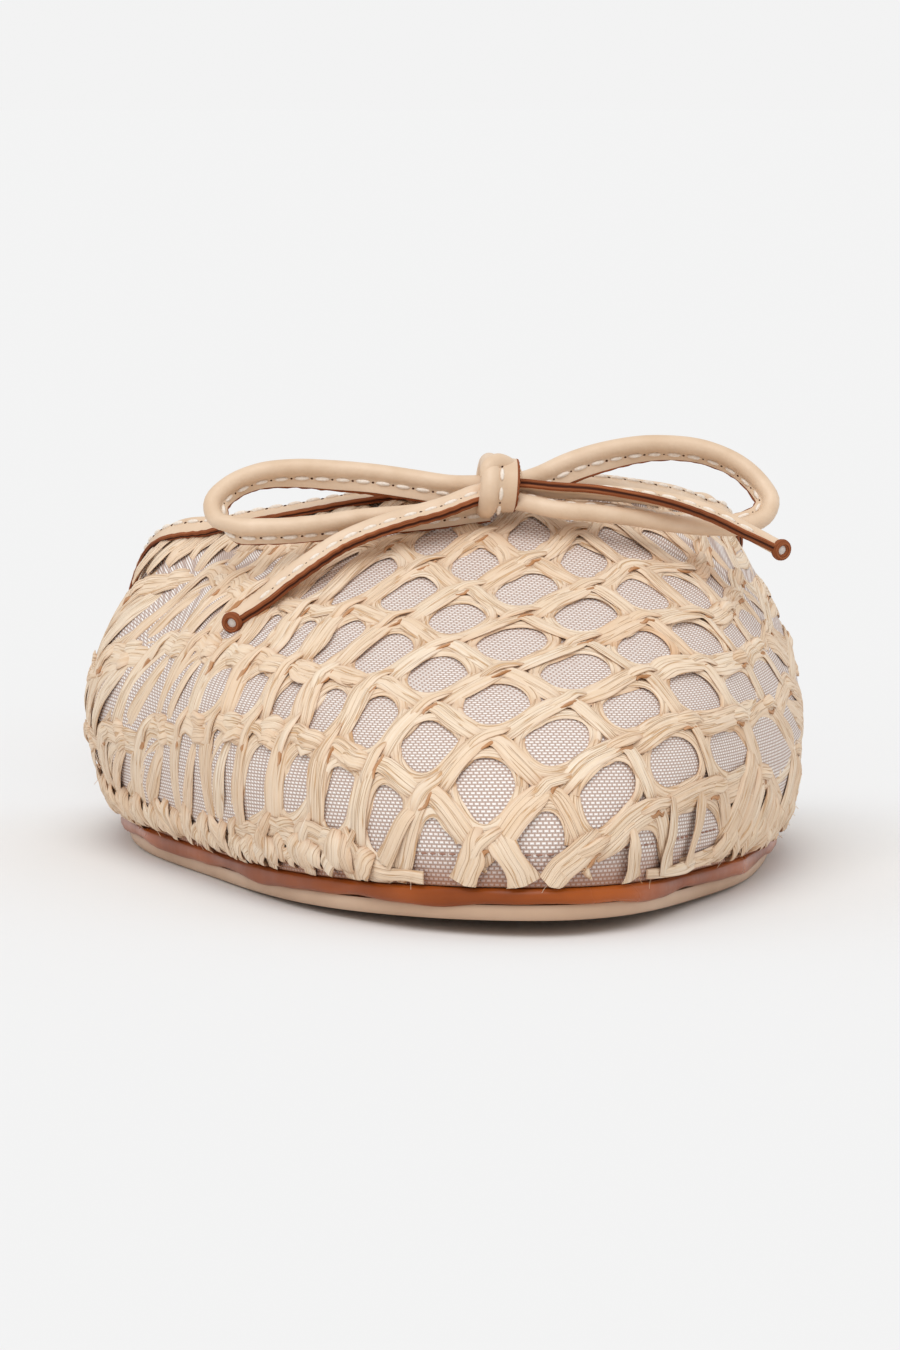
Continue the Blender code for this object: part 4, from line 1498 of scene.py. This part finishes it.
def pipingRings(points, side, up, form, foot):
    # the section at every station: flange, cord, flange
    cord, height, half = form["cord"], form["cordHeight"], form["half"]
    start = math.acos(min(1.0, half / cord))
    arc = np.linspace(-start, math.pi + start, piping["arcSteps"])
    top = height + cord * math.sin(-start) - piping["clear"]
    rings = []
    for point, s, u, low in zip(points, side, up, foot):
        drop = np.linspace(low, min(top, low + piping["taperHeight"]), 3)
        section = [(half * piping["taper"], drop[0]), (half, drop[1]), (half, drop[2])]
        flange = [(-a, b) for a, b in reversed(section)]
        section += [(cord * math.cos(a), height + cord * math.sin(a)) for a in arc]
        section = np.array(section + flange)
        rings.append(point + section[:, :1] * s + section[:, 1:] * u)
    return rings


rawEdge = {
    "half": ((-1.0, 0.15), (-1.03, -0.06), (-0.85, -0.24), (-0.45, -0.28), (-0.12, -0.2), (0.0, -0.17)),
    "seam": 0.3,
    "wave": 0.05,
    "waveStep": 1.7,
    "rough": 0.025,
}


def addRawEdge(batch, points, side, up, half, foot):
    # two leather layers with the seam between them, the groove painted dark as shade
    wave = rawEdge["wave"] * np.sin(np.arange(len(points)) * rawEdge["waveStep"])
    foot = foot + (wave + rng.normal(0.0, rawEdge["rough"], len(points)))
    mirrored = tuple((-a, b) for a, b in rawEdge["half"][-2::-1])
    section = np.array(rawEdge["half"] + mirrored)
    rings = np.array([
        p + section[:, :1] * half * s + (section[:, 1:] + f) * u
        for p, s, u, f in zip(points, side, up, foot)
    ])
    uv = np.stack(np.broadcast_arrays(runLength(points)[:, None], section[:, 0] * half), axis=-1)
    # painted shade on the groove at the middle of the section
    tuck = np.where(np.abs(section[:, 0]) < rawEdge["seam"], 1.0, 0.0)
    addLoft(batch, rings, uv, tuck=np.broadcast_to(tuck, rings.shape[:2]))


def frameOn(points, upright):
    forward = unit(np.gradient(points, axis=0))
    side = unit(np.cross(forward, upright))
    return side, np.cross(side, forward)


binding = {
    "stations": 220,
    "cord": 1.05,
    "arc": (-38.0, 262.0),
    "arcSteps": 26,
    "outward": -0.5,
    "upward": 0.75,
    "half": 0.42,
    "foot": -2.1,
    "flangeOut": 0.72,
    "raise": 1.6,
    "raiseFrom": (0.06, 0.12),
    "raiseTo": (0.34, 0.08),
    "tail": 2.2,
    "stitchUp": -0.25,
    "stitchRaise": 0.7,
    "stitchOut": 0.05,
    "sewn": (3, -3),
}


def makeBinding():
    # cord on the rim, flange lying outside the wall
    turn = np.linspace(firstTurn, lastTurn, 900)
    edge = onWall(turn, 0.0)[0]
    run = runLength(edge)
    turn = np.interp(np.linspace(0.0, run[-1], binding["stations"]), run, turn)
    length = ribLength(turn)
    rim, out = onWall(turn, length)
    up = unit(rim - onWall(turn, length - 0.5)[0])
    up = unit(up - out * np.sum(up * out, axis=1, keepdims=True))
    # both ends run on straight down to the sole
    rim = np.concatenate([
        rim[:1] + unit(rim[:1] - rim[1:2]) * binding["tail"],
        rim,
        rim[-1:] + unit(rim[-1:] - rim[-2:-1]) * binding["tail"],
    ])
    ends = np.concatenate([[0], np.arange(len(turn)), [len(turn) - 1]])
    turn, out, up = turn[ends], out[ends], up[ends]
    cord, over, above = binding["cord"], binding["outward"], binding["upward"]
    arc = np.radians(np.linspace(*binding["arc"], binding["arcSteps"]))
    outer, inner = binding["flangeOut"] + binding["half"], binding["flangeOut"] - binding["half"]
    low = binding["foot"]
    section = np.array([  # outwards, upwards, share of the raise
        (outer * 0.98, low, 0.0),
        (outer, low + 0.5, 0.1),
        (outer + 0.04, -0.9, 0.4),
        (outer, -0.1, 0.8),
        *((cord * math.cos(a) + over, cord * math.sin(a) + above, 1.0) for a in arc),
        (inner, -0.2, 0.8),
        (inner, -0.9, 0.4),
        (inner, low, 0.0),
    ])
    # the inner side's cord stands higher above the rim
    (start, rising), (end, falling) = binding["raiseFrom"], binding["raiseTo"]
    higher = binding["raise"] * ease((turn - start) / rising) * (1.0 - ease((turn - end) / falling))
    batch = newBatch()
    addLoft(batch, [
        p + section[:, :1] * o + (section[:, 1:2] + section[:, 2:] * h) * u
        for p, o, u, h in zip(rim, out, up, higher)
    ])
    piece = finishPiece("topline_piping", batch, "leather")
    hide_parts("topline_binding")
    edgeBatch = newBatch()
    addRawEdge(edgeBatch, rim + out * binding["flangeOut"], out, up, binding["half"], binding["foot"])
    finishPiece("topline_raw_edge", edgeBatch, "rawEdge")
    stitchUp = binding["stitchRaise"] * higher[:, None] + binding["stitchUp"]
    sewn = rim + out * (outer + binding["stitchOut"]) + up * stitchUp
    part = slice(*binding["sewn"])
    return [(sewn[part], unit(out + 0.4 * up)[part])]


sewRuns("topline", makeBinding())
print("topline binding ready")


# Bow: two loops and two tails of corded strap, gathered by a knot

strap = {
    "cord": 1.06,
    "cordHeight": 0.55,
    "half": 0.42,
    "edge": 0.22,
    "foot": -1.9,
    "stations": 120,
    "sewn": (3, -3),
}
tailStrap = {
    "cord": 0.95,
    "cordHeight": 0.55,
    "half": 0.52,
    "edge": 0.52,
    "foot": -1.7,
    "stations": 80,
    "tip": 5.0,
    "stub": -0.4,
    "sewn": (3, -10),
}
loopOuter = (  # x, y, z, direction of the cord x, y, z, share of the flange
    (6.1, 58.4, 46.1, 0.0, 0.1, 1.0, 1.0),
    (0.9, 61.4, 45.9, 0.0, 0.1, 1.0, 1.0),
    (-3.6, 62.9, 46.5, 0.0, 0.1, 1.0, 1.0),
    (-8.2, 64.1, 47.1, 0.0, 0.15, 1.0, 1.0),
    (-12.9, 64.9, 47.5, 0.0, -0.1, 1.0, 1.0),
    (-17.5, 65.1, 47.7, -0.1, -0.3, 1.0, 0.95),
    (-22.1, 64.5, 47.2, -0.3, -0.4, 0.9, 0.8),
    (-25.3, 63.3, 45.9, -0.6, -0.45, 0.7, 0.75),
    (-27.2, 61.2, 43.9, -0.95, -0.35, 0.3, 0.7),
    (-26.6, 59.5, 42.1, -0.7, -0.2, 0.5, 0.7),
    (-24.7, 58.4, 41.2, -0.2, -0.35, 0.9, 0.8),
    (-21.6, 57.8, 41.1, 0.0, -0.4, 0.9, 0.8),
    (-14.2, 57.6, 41.6, 0.0, -0.35, 0.92, 0.8),
    (-10.5, 57.8, 42.1, 0.0, -0.3, 0.95, 0.8),
    (-4.0, 57.9, 42.6, 0.0, -0.2, 1.0, 0.8),
    (5.3, 57.7, 43.8, 0.0, -0.2, 1.0, 0.8),
)
loopInner = (
    (6.5, 58.4, 46.1, 0.0, 0.2, 1.0, 1.0),
    (9.0, 60.4, 46.2, 0.0, 0.2, 1.0, 1.0),
    (11.5, 61.7, 46.8, -0.2, 0.2, 1.0, 1.0),
    (15.4, 63.1, 48.4, -0.3, 0.1, 1.0, 1.0),
    (19.7, 64.5, 49.6, -0.2, -0.1, 1.0, 0.95),
    (26.3, 65.6, 50.4, 0.0, -0.4, 0.9, 0.8),
    (32.3, 65.6, 49.7, 0.35, -0.5, 0.8, 0.7),
    (36.2, 64.2, 47.9, 0.6, -0.55, 0.55, 0.65),
    (38.5, 62.2, 45.5, 0.85, -0.55, 0.2, 0.62),
    (39.1, 60.8, 44.1, 0.85, -0.55, -0.1, 0.65),
    (38.3, 59.5, 42.7, 0.6, -0.5, -0.4, 0.7),
    (36.2, 58.4, 41.8, 0.2, -0.7, -0.5, 0.8),
    (31.9, 57.1, 41.7, 0.0, -0.8, -0.5, 0.8),
    (27.1, 55.9, 42.2, 0.0, -0.8, -0.45, 0.8),
    (22.4, 54.9, 43.0, 0.0, -0.8, -0.4, 0.8),
    (17.7, 54.1, 43.6, 0.0, -0.8, -0.4, 0.8),
    (13.0, 53.8, 44.0, 0.0, -0.8, -0.3, 0.8),
    (9.7, 54.8, 44.7, 0.0, -0.8, -0.3, 0.8),
    (6.2, 57.0, 45.3, 0.0, -0.8, -0.3, 0.8),
)
tailOuter = tuple(
    place + (0.0, 0.9, 0.42, 1.0)
    for place in (
        (6.5, 56.5, 46.0),
        (3.7, 55.7, 45.5),
        (-0.5, 55.1, 44.0),
        (-4.3, 54.7, 43.0),
        (-8.9, 54.1, 41.6),
        (-12.6, 53.3, 40.1),
        (-16.4, 51.9, 37.8),
        (-19.6, 50.7, 35.6),
        (-22.9, 49.7, 32.9),
        (-25.3, 49.1, 31.1),
    )
)
tailInner = tuple(
    (x, y, z, 0.0, 1.0, lean, 1.0)
    for x, y, z, lean in (
        (5.8, 57.7, 46.4, -0.3),
        (8.5, 57.1, 46.4, -0.3),
        (13.1, 56.2, 46.0, -0.3),
        (17.7, 55.4, 45.8, -0.25),
        (21.3, 54.8, 45.5, -0.1),
        (26.8, 53.8, 44.65, 0.1),
        (31.3, 53.0, 43.3, 0.25),
        (35.9, 52.2, 41.0, 0.25),
        (39.4, 51.8, 39.1, 0.25),
    )
)


def strapPath(table, stations):
    rows = np.array(table)
    knots = runLength(rows[:, :3])
    found = spline(knots, rows, np.linspace(0.0, knots[-1], stations))
    return found[:, :3], unit(found[:, 3:6]), found[:, 6]


def makeStrap(name, node, form, points, side, up, foot, more=()):
    batch = newBatch()
    addLoft(batch, pipingRings(points, side, up, form, foot))
    addRawEdge(bowEdges, points, side, up, form["edge"], foot)
    for add in more:
        add(batch)
    piece = finishPiece(name, batch, "leather")
    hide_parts(node)


def sewnLine(form, points, face, up):
    low = form["cordHeight"] - math.sqrt(form["cord"] ** 2 - form["half"] ** 2) - stitch["below"]
    run = points + face * form["half"] * stitch["proud"] + up * low
    part = slice(*form["sewn"])
    return run[part], face[part]


def makeLoop(name, node, table, faceSigns):
    points, upright, flange = strapPath(table, strap["stations"])
    side, up = frameOn(points, upright)
    makeStrap(name, node, strap, points, side, up, strap["foot"] * flange)
    for sign in faceSigns:
        bowRuns.append(sewnLine(strap, points, side * sign, up))


def makeTail(name, node, table, faceSign):
    points, upright, _ = strapPath(table, tailStrap["stations"])
    side, up = frameOn(points, upright)
    run = runLength(points)
    cut = np.clip(1.0 - (run[-1] - run) / tailStrap["tip"], 0.0, 1.0)
    foot = tailStrap["foot"] + (tailStrap["stub"] - tailStrap["foot"]) * cut
    makeStrap(name, node, tailStrap, points, side, up, foot)
    bowRuns.append(sewnLine(tailStrap, points, side * faceSign, up))
    addCutEnd(points, up)


cutEnd = {
    "radius": 0.92,
    "ring": 0.40,
    "ringDepth": 1.4,
    "segments": 28,
    "steps": 10,
    "forward": 0.6,
    "facing": (0.0, -0.85, 0.1),
    "sunk": 0.25,
    "ahead": 0.25,
    "out": 0.2,
    "tip": 0.22,
    "dome": ((0.5, 0.16), (1.0, -0.05)),  # share of the radius, height
}


def addCutEnd(points, up):
    # the cord's cut end: a brown leather ring round a pale core
    tip = points[-1] + up[-1] * (tailStrap["cordHeight"] - cutEnd["sunk"])
    forward = unit(points[-1] - points[-2])
    facing = unit(forward * cutEnd["forward"] + np.array(cutEnd["facing"]))
    across = unit(np.cross(facing, np.array([0.0, 0.0, 1.0])))
    rise = np.cross(across, facing)
    centre = tip + forward * cutEnd["ahead"] + facing * cutEnd["out"]
    count = cutEnd["segments"]
    angle = np.linspace(0.0, 2.0 * math.pi, count, endpoint=False)
    spokes = np.outer(np.cos(angle), across) + np.outer(np.sin(angle), rise)
    radius, steps = cutEnd["radius"], cutEnd["steps"]
    rings = []
    for step in np.linspace(0.0, 2.0 * math.pi, steps, endpoint=False):
        reach = radius + cutEnd["ring"] * math.cos(step)
        height = cutEnd["ring"] * cutEnd["ringDepth"] * math.sin(step)
        rings.append(centre + spokes * reach + facing * height)
    # one row of faces more than rings, so that the last joins the first
    faces = loftFaces(steps + 1, count, capped=False)
    faces = [tuple(corner % (steps * count) for corner in face) for face in faces]
    uv = np.stack(np.broadcast_arrays(angle * radius, np.arange(steps)[:, None] * 0.25), axis=-1)
    addPart(bowEdges, rings, faces, uv, tuck=0.0)
    dome = [centre + facing * cutEnd["tip"]]
    for share, height in cutEnd["dome"]:
        dome.extend(centre + spokes * radius * share + facing * height)
    faces = []
    for i in range(count):
        j = (i + 1) % count
        faces.append((0, 1 + i, 1 + j))
        faces.append((1 + i, 1 + count + i, 1 + count + j, 1 + j))
    faces.append(tuple(range(1 + count, 1 + 2 * count))[::-1])
    addPart(bowCores, dome, faces)


bowEdges, bowCores, bowRuns = newBatch(), newBatch(), []
makeLoop("bow_loop_outer_strap", "bow_loop_lateral", loopOuter, (-1.0, 1.0))
makeLoop("bow_loop_inner_strap", "bow_loop_medial", loopInner, (1.0, -1.0))
makeTail("bow_tail_outer_strap", "bow_tail_lateral", tailOuter, -1.0)
makeTail("bow_tail_inner_strap", "bow_tail_medial", tailInner, 1.0)

# The knot is a length of the same strap wound once round a filled middle
knot = {
    "centre": (5.9, 56.6, 46.5),
    "half": (3.5, 2.75),
    "turn": (-115.0, 200.0),
    "stations": 90,
    "sway": 0.25,
    "lean": 8.0,
    "core": (2.1, 3.4, 2.7),
    "coreShift": (0.4, 0.0, 0.0),
    "corePower": 2.6,
    "coreTilt": 1.5,
    "coreMesh": (17, 40),
    "lap": (  # x, y, z, radius
        (4.5, 53.6, 47.6, 0.6),
        (4.9, 54.0, 48.8, 0.95),
        (6.0, 54.9, 49.4, 1.05),
        (7.4, 55.8, 48.9, 1.05),
        (8.3, 56.8, 47.8, 0.95),
        (8.6, 57.8, 46.3, 0.7),
    ),
    "lapMesh": (36, 20),
}
knotStrap = {
    "cord": 1.15,
    "cordHeight": 0.85,
    "half": 0.45,
    "edge": 0.4,
    "foot": -2.35,
    "sewn": (20, 55),
}


def knotCore(batch):
    centre = np.array(knot["centre"]) + knot["coreShift"]
    power = 2.0 / knot["corePower"]
    steps, segments = knot["coreMesh"]
    angle = np.linspace(0.0, 2.0 * math.pi, segments, endpoint=False)
    y, z = blunt(np.cos(angle), power), blunt(np.sin(angle), power)
    rings = []
    for tilt in np.linspace(-knot["coreTilt"], knot["coreTilt"], steps):
        reach = math.cos(tilt) ** power
        x = np.full(segments, blunt(math.sin(tilt), power))
        rings.append(centre + np.column_stack([x, y * reach, z * reach]) * knot["core"])
    addLoft(batch, rings)


def knotLap(batch):
    rows = np.array(knot["lap"])
    knots = runLength(rows[:, :3])
    steps, segments = knot["lapMesh"]
    found = spline(knots, rows, np.linspace(0.0, knots[-1], steps))
    side, up = frameOn(found[:, :3], np.array([0.0, 0.0, 1.0]))
    angle = np.linspace(0.0, 2.0 * math.pi, segments, endpoint=False)
    around = side[:, None] * np.cos(angle)[:, None] + up[:, None] * np.sin(angle)[:, None]
    addLoft(batch, found[:, None, :3] + around * found[:, 3][:, None, None])


def makeKnot():
    angle = np.radians(np.linspace(*knot["turn"], knot["stations"]))
    lean = math.radians(knot["lean"])
    y, z = -knot["half"][0] * np.cos(angle), knot["half"][1] * np.sin(angle)
    away = np.column_stack([
        knot["sway"] * np.sin(angle),
        y * math.cos(lean) - z * math.sin(lean),
        y * math.sin(lean) + z * math.cos(lean),
    ])
    ring = away + np.array(knot["centre"])
    side, up = frameOn(ring, np.array([-1.0, 0.0, 0.0]))
    foot = np.full(len(ring), knotStrap["foot"])
    makeStrap("bow_knot_wrap", "bow_knot", knotStrap, ring, side, up, foot, (knotCore, knotLap))
    face = side * np.sign(np.sum(side * away, axis=1, keepdims=True))
    bowRuns.append(sewnLine(knotStrap, ring, face, up))


makeKnot()
finishPiece("bow_raw_edges", bowEdges, "rawEdge")
finishPiece("bow_cord_cores", bowCores, "core")
sewRuns("bow", bowRuns)
print("bow ready")


# Sole: painted wavy edge, outsole with arch and low heel, footbed with a shallow dish

soleMesh = {"stations": 150, "strips": 18, "breastEdge": 0.5, "sharp": 38.0}


def soleLoop():
    # turns once round the sole from the heel, with a station at both edges of the heel's breast
    turn = np.linspace(0.0, 1.0, soleMesh["stations"] + 1)
    front, rear = soleForm["heelFront"], soleForm["heelFront"] + soleForm["heelBreast"]
    breast = np.array([front + soleMesh["breastEdge"], rear - soleMesh["breastEdge"]])
    turn = np.sort(np.concatenate([turn, np.arccos(1.0 - 2.0 * breast / soleForm["length"]) / math.pi]))
    return np.concatenate([-turn[:0:-1], turn[:-1]])


def soleSolid(name, top, under, profile, material, slot, wave=None, inset=None, crown=None):
    # profile rows: share of the height, depth inside the feather edge
    loop = soleLoop()
    size, middle, strips = len(loop), len(loop) // 2, soleMesh["strips"]
    run = runLength(featherEdge(loop))
    rings = []
    for share, more in profile:
        depth = (inset(loop) if inset else np.zeros(size)) + more
        move = wave(run, share) if wave else np.zeros((size, 2))
        flat = featherEdge(loop) - outward(loop) * (depth - move[:, 0])[:, None]
        low, high = under(flat[:, 1]), top(flat[:, 1])
        rings.append(np.column_stack([flat, low + (high - low) * share + move[:, 1]]))
    points = [np.concatenate(rings)]
    faces = loftFaces(len(rings), size, capped=False)
    count = len(rings) * size
    # the top and the underside are filled with strips from side to side
    for level in (0, len(rings) - 1):
        base, ring = level * size, rings[level]
        rows = []
        for i in range(1, middle):
            left, right = ring[middle - i], ring[(middle + i) % size]
            inside = left + (right - left) * np.linspace(0.0, 1.0, strips + 1)[1:-1, None]
            if level == 0 and crown:
                inside[:, 2] += crown(inside, np.linspace(-1.0, 1.0, strips + 1)[1:-1])
            points.append(inside)
            filled = range(count, count + strips - 1)
            rows.append([base + middle - i, *filled, base + (middle + i) % size])
            count += strips - 1
        for here, there in zip(rows, rows[1:]):
            faces.extend((here[j], there[j], there[j + 1], here[j + 1]) for j in range(strips))
        faces.extend((base + middle, rows[0][j], rows[0][j + 1]) for j in range(strips))
        faces.extend((rows[-1][j + 1], rows[-1][j], base) for j in range(strips))
    batch = newBatch()
    addPart(batch, np.concatenate(points), faces)
    return finishPiece(name, batch, material, sharp=soleMesh["sharp"])


edgeBand = {
    "wave": 0.35,
    "lift": 0.22,
    "lengths": (31.0, 17.0, 9.0),
    "over": 0.25,
    "under": 0.15,
    "profile": (
        (1.0, 1.1),
        (0.98, 0.6),
        (0.90, 0.25),
        (0.72, 0.03),
        (0.5, -0.05),
        (0.28, 0.0),
        (0.1, 0.2),
        (0.02, 0.55),
        (0.0, 1.1),
    ),
}


def edgeWave(run, share):
    swing = np.zeros(len(run))
    lift = np.zeros(len(run))
    for i, length in enumerate(edgeBand["lengths"]):
        swing += np.sin(2.0 * math.pi * run / length + 1.3 * i) / (i + 1.2)
        lift += np.sin(2.0 * math.pi * run / length + 2.1 + 0.7 * i) / (i + 1.0)
    low = 1.0 - ease(share * 1.5)
    return np.column_stack([edgeBand["wave"] * swing * 0.6, edgeBand["lift"] * lift * low])


def edgeTop(y):
    return footHeight(y) + edgeBand["over"]


def edgeUnder(y):
    return footHeight(y) - soleForm["midsole"] - edgeBand["under"]


profile = edgeBand["profile"]
band = soleSolid("sole_edge", edgeTop, edgeUnder, profile, "edgePaint", "sole_edge", wave=edgeWave)
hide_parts("midsole")

tread = {
    "gap": 0.1,
    "profile": ((1.0, 1.0), (0.8, 0.85), (0.5, 0.95), (0.2, 1.2), (0.06, 1.5), (0.0, 2.0)),
}


def outsoleTop(y):
    return footHeight(y) - soleForm["midsole"] - tread["gap"]


profile = tread["profile"]
outsole = soleSolid("outsole_tread", outsoleTop, underside, profile, "outsole", "outsole_rubber")
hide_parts("outsole")

footbed = {
    "front": 3.7,
    "rear": 1.2,
    "stepStart": 0.02,
    "step": 0.05,
    "dish": 0.5,
    "dishStart": 40.0,
    "profile": ((1.0, 0.7), (0.93, 0.3), (0.75, 0.05), (0.4, 0.0), (0.0, 0.1)),
}


def footbedInset(turn):
    behind = ease((np.abs(turn) - lastTurn - footbed["stepStart"]) / footbed["step"])
    return footbed["front"] + (footbed["rear"] - footbed["front"]) * behind


def footbedUnder(y):
    return footHeight(y) + soleForm["gap"]


def footbedTop(y):
    return footbedUnder(y) + soleForm["insole"]


def footbedDish(points, across):
    return -footbed["dish"] * (1.0 - across**2) * ease(points[:, 1] / footbed["dishStart"])


profile = footbed["profile"]
forms = {"inset": footbedInset, "crown": footbedDish}
insole = soleSolid("footbed_leather", footbedTop, footbedUnder, profile, "footbed", "footbed", **forms)
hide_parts("insole")
print("sole ready")


# Stage

stage = {
    "floor": 0.82,
    "floorReach": 60.0,
    "backdrop": 0.895,
    "sky": 0.755,
    "sun": 1.30,
    "sunSpread": 50.0,
    "sunFrom": (-0.22, -0.78, 1.2),
}
camera = {
    "position": (-47.1, -625.1, 92.1),
    "target": (1.5, 70.0, 25.0),
    "focal": 5740.0,
    "imageHeight": 1350.0,
    "axisAbove": 20.6,
}


def makeStage():
    mesh = bpy.data.meshes.new("floor")
    reach = stage["floorReach"]
    corners = [(-reach, -reach, 0.0), (reach, -reach, 0.0), (reach, reach, 0.0), (-reach, reach, 0.0)]
    mesh.from_pydata(corners, [], [(0, 1, 2, 3)])
    made, _, shader = newMaterial("paleFloor", 0.9, Specular_IOR_Level=0.0)
    shader.inputs["Base Color"].default_value = (stage["floor"],) * 3 + (1.0,)
    mesh.materials.append(made)
    newObject("floor", mesh)
    world = bpy.data.worlds.new("softStudio")
    world.use_nodes = True
    bpy.context.scene.world = world
    tree = world.node_tree
    seen = addNode(tree, "ShaderNodeLightPath").outputs["Is Camera Ray"]
    strength = remap(tree, seen, 0.0, 1.0, stage["sky"], stage["backdrop"])
    tree.links.new(strength, tree.nodes["Background"].inputs["Strength"])
    tree.nodes["Background"].inputs["Color"].default_value = (1.0, 1.0, 1.0, 1.0)
    sun = bpy.data.lights.new("softSun", "SUN")
    sun.energy = stage["sun"]
    sun.angle = math.radians(stage["sunSpread"])
    lamp = newObject("softSun", sun)
    lamp.rotation_euler = Vector(stage["sunFrom"]).to_track_quat("Z", "Y").to_euler()
    bpy.context.scene.view_settings.view_transform = "Standard"


def makeCamera():
    lens = bpy.data.cameras.new("camera")
    lens.sensor_width = 36.0
    lens.lens = camera["focal"] / camera["imageHeight"] * lens.sensor_width
    lens.shift_y = -camera["axisAbove"] / camera["imageHeight"]
    lens.clip_start = 0.01
    lens.clip_end = 200.0
    eye = newObject("camera", lens)
    place = (np.array(camera["position"]) + rowShift) * mm
    target = (np.array(camera["target"]) + rowShift) * mm
    eye.location = place
    eye.rotation_euler = Vector(target - place).to_track_quat("-Z", "Y").to_euler()
    bpy.context.scene.camera = eye


makeStage()
makeCamera()
print("stage ready")
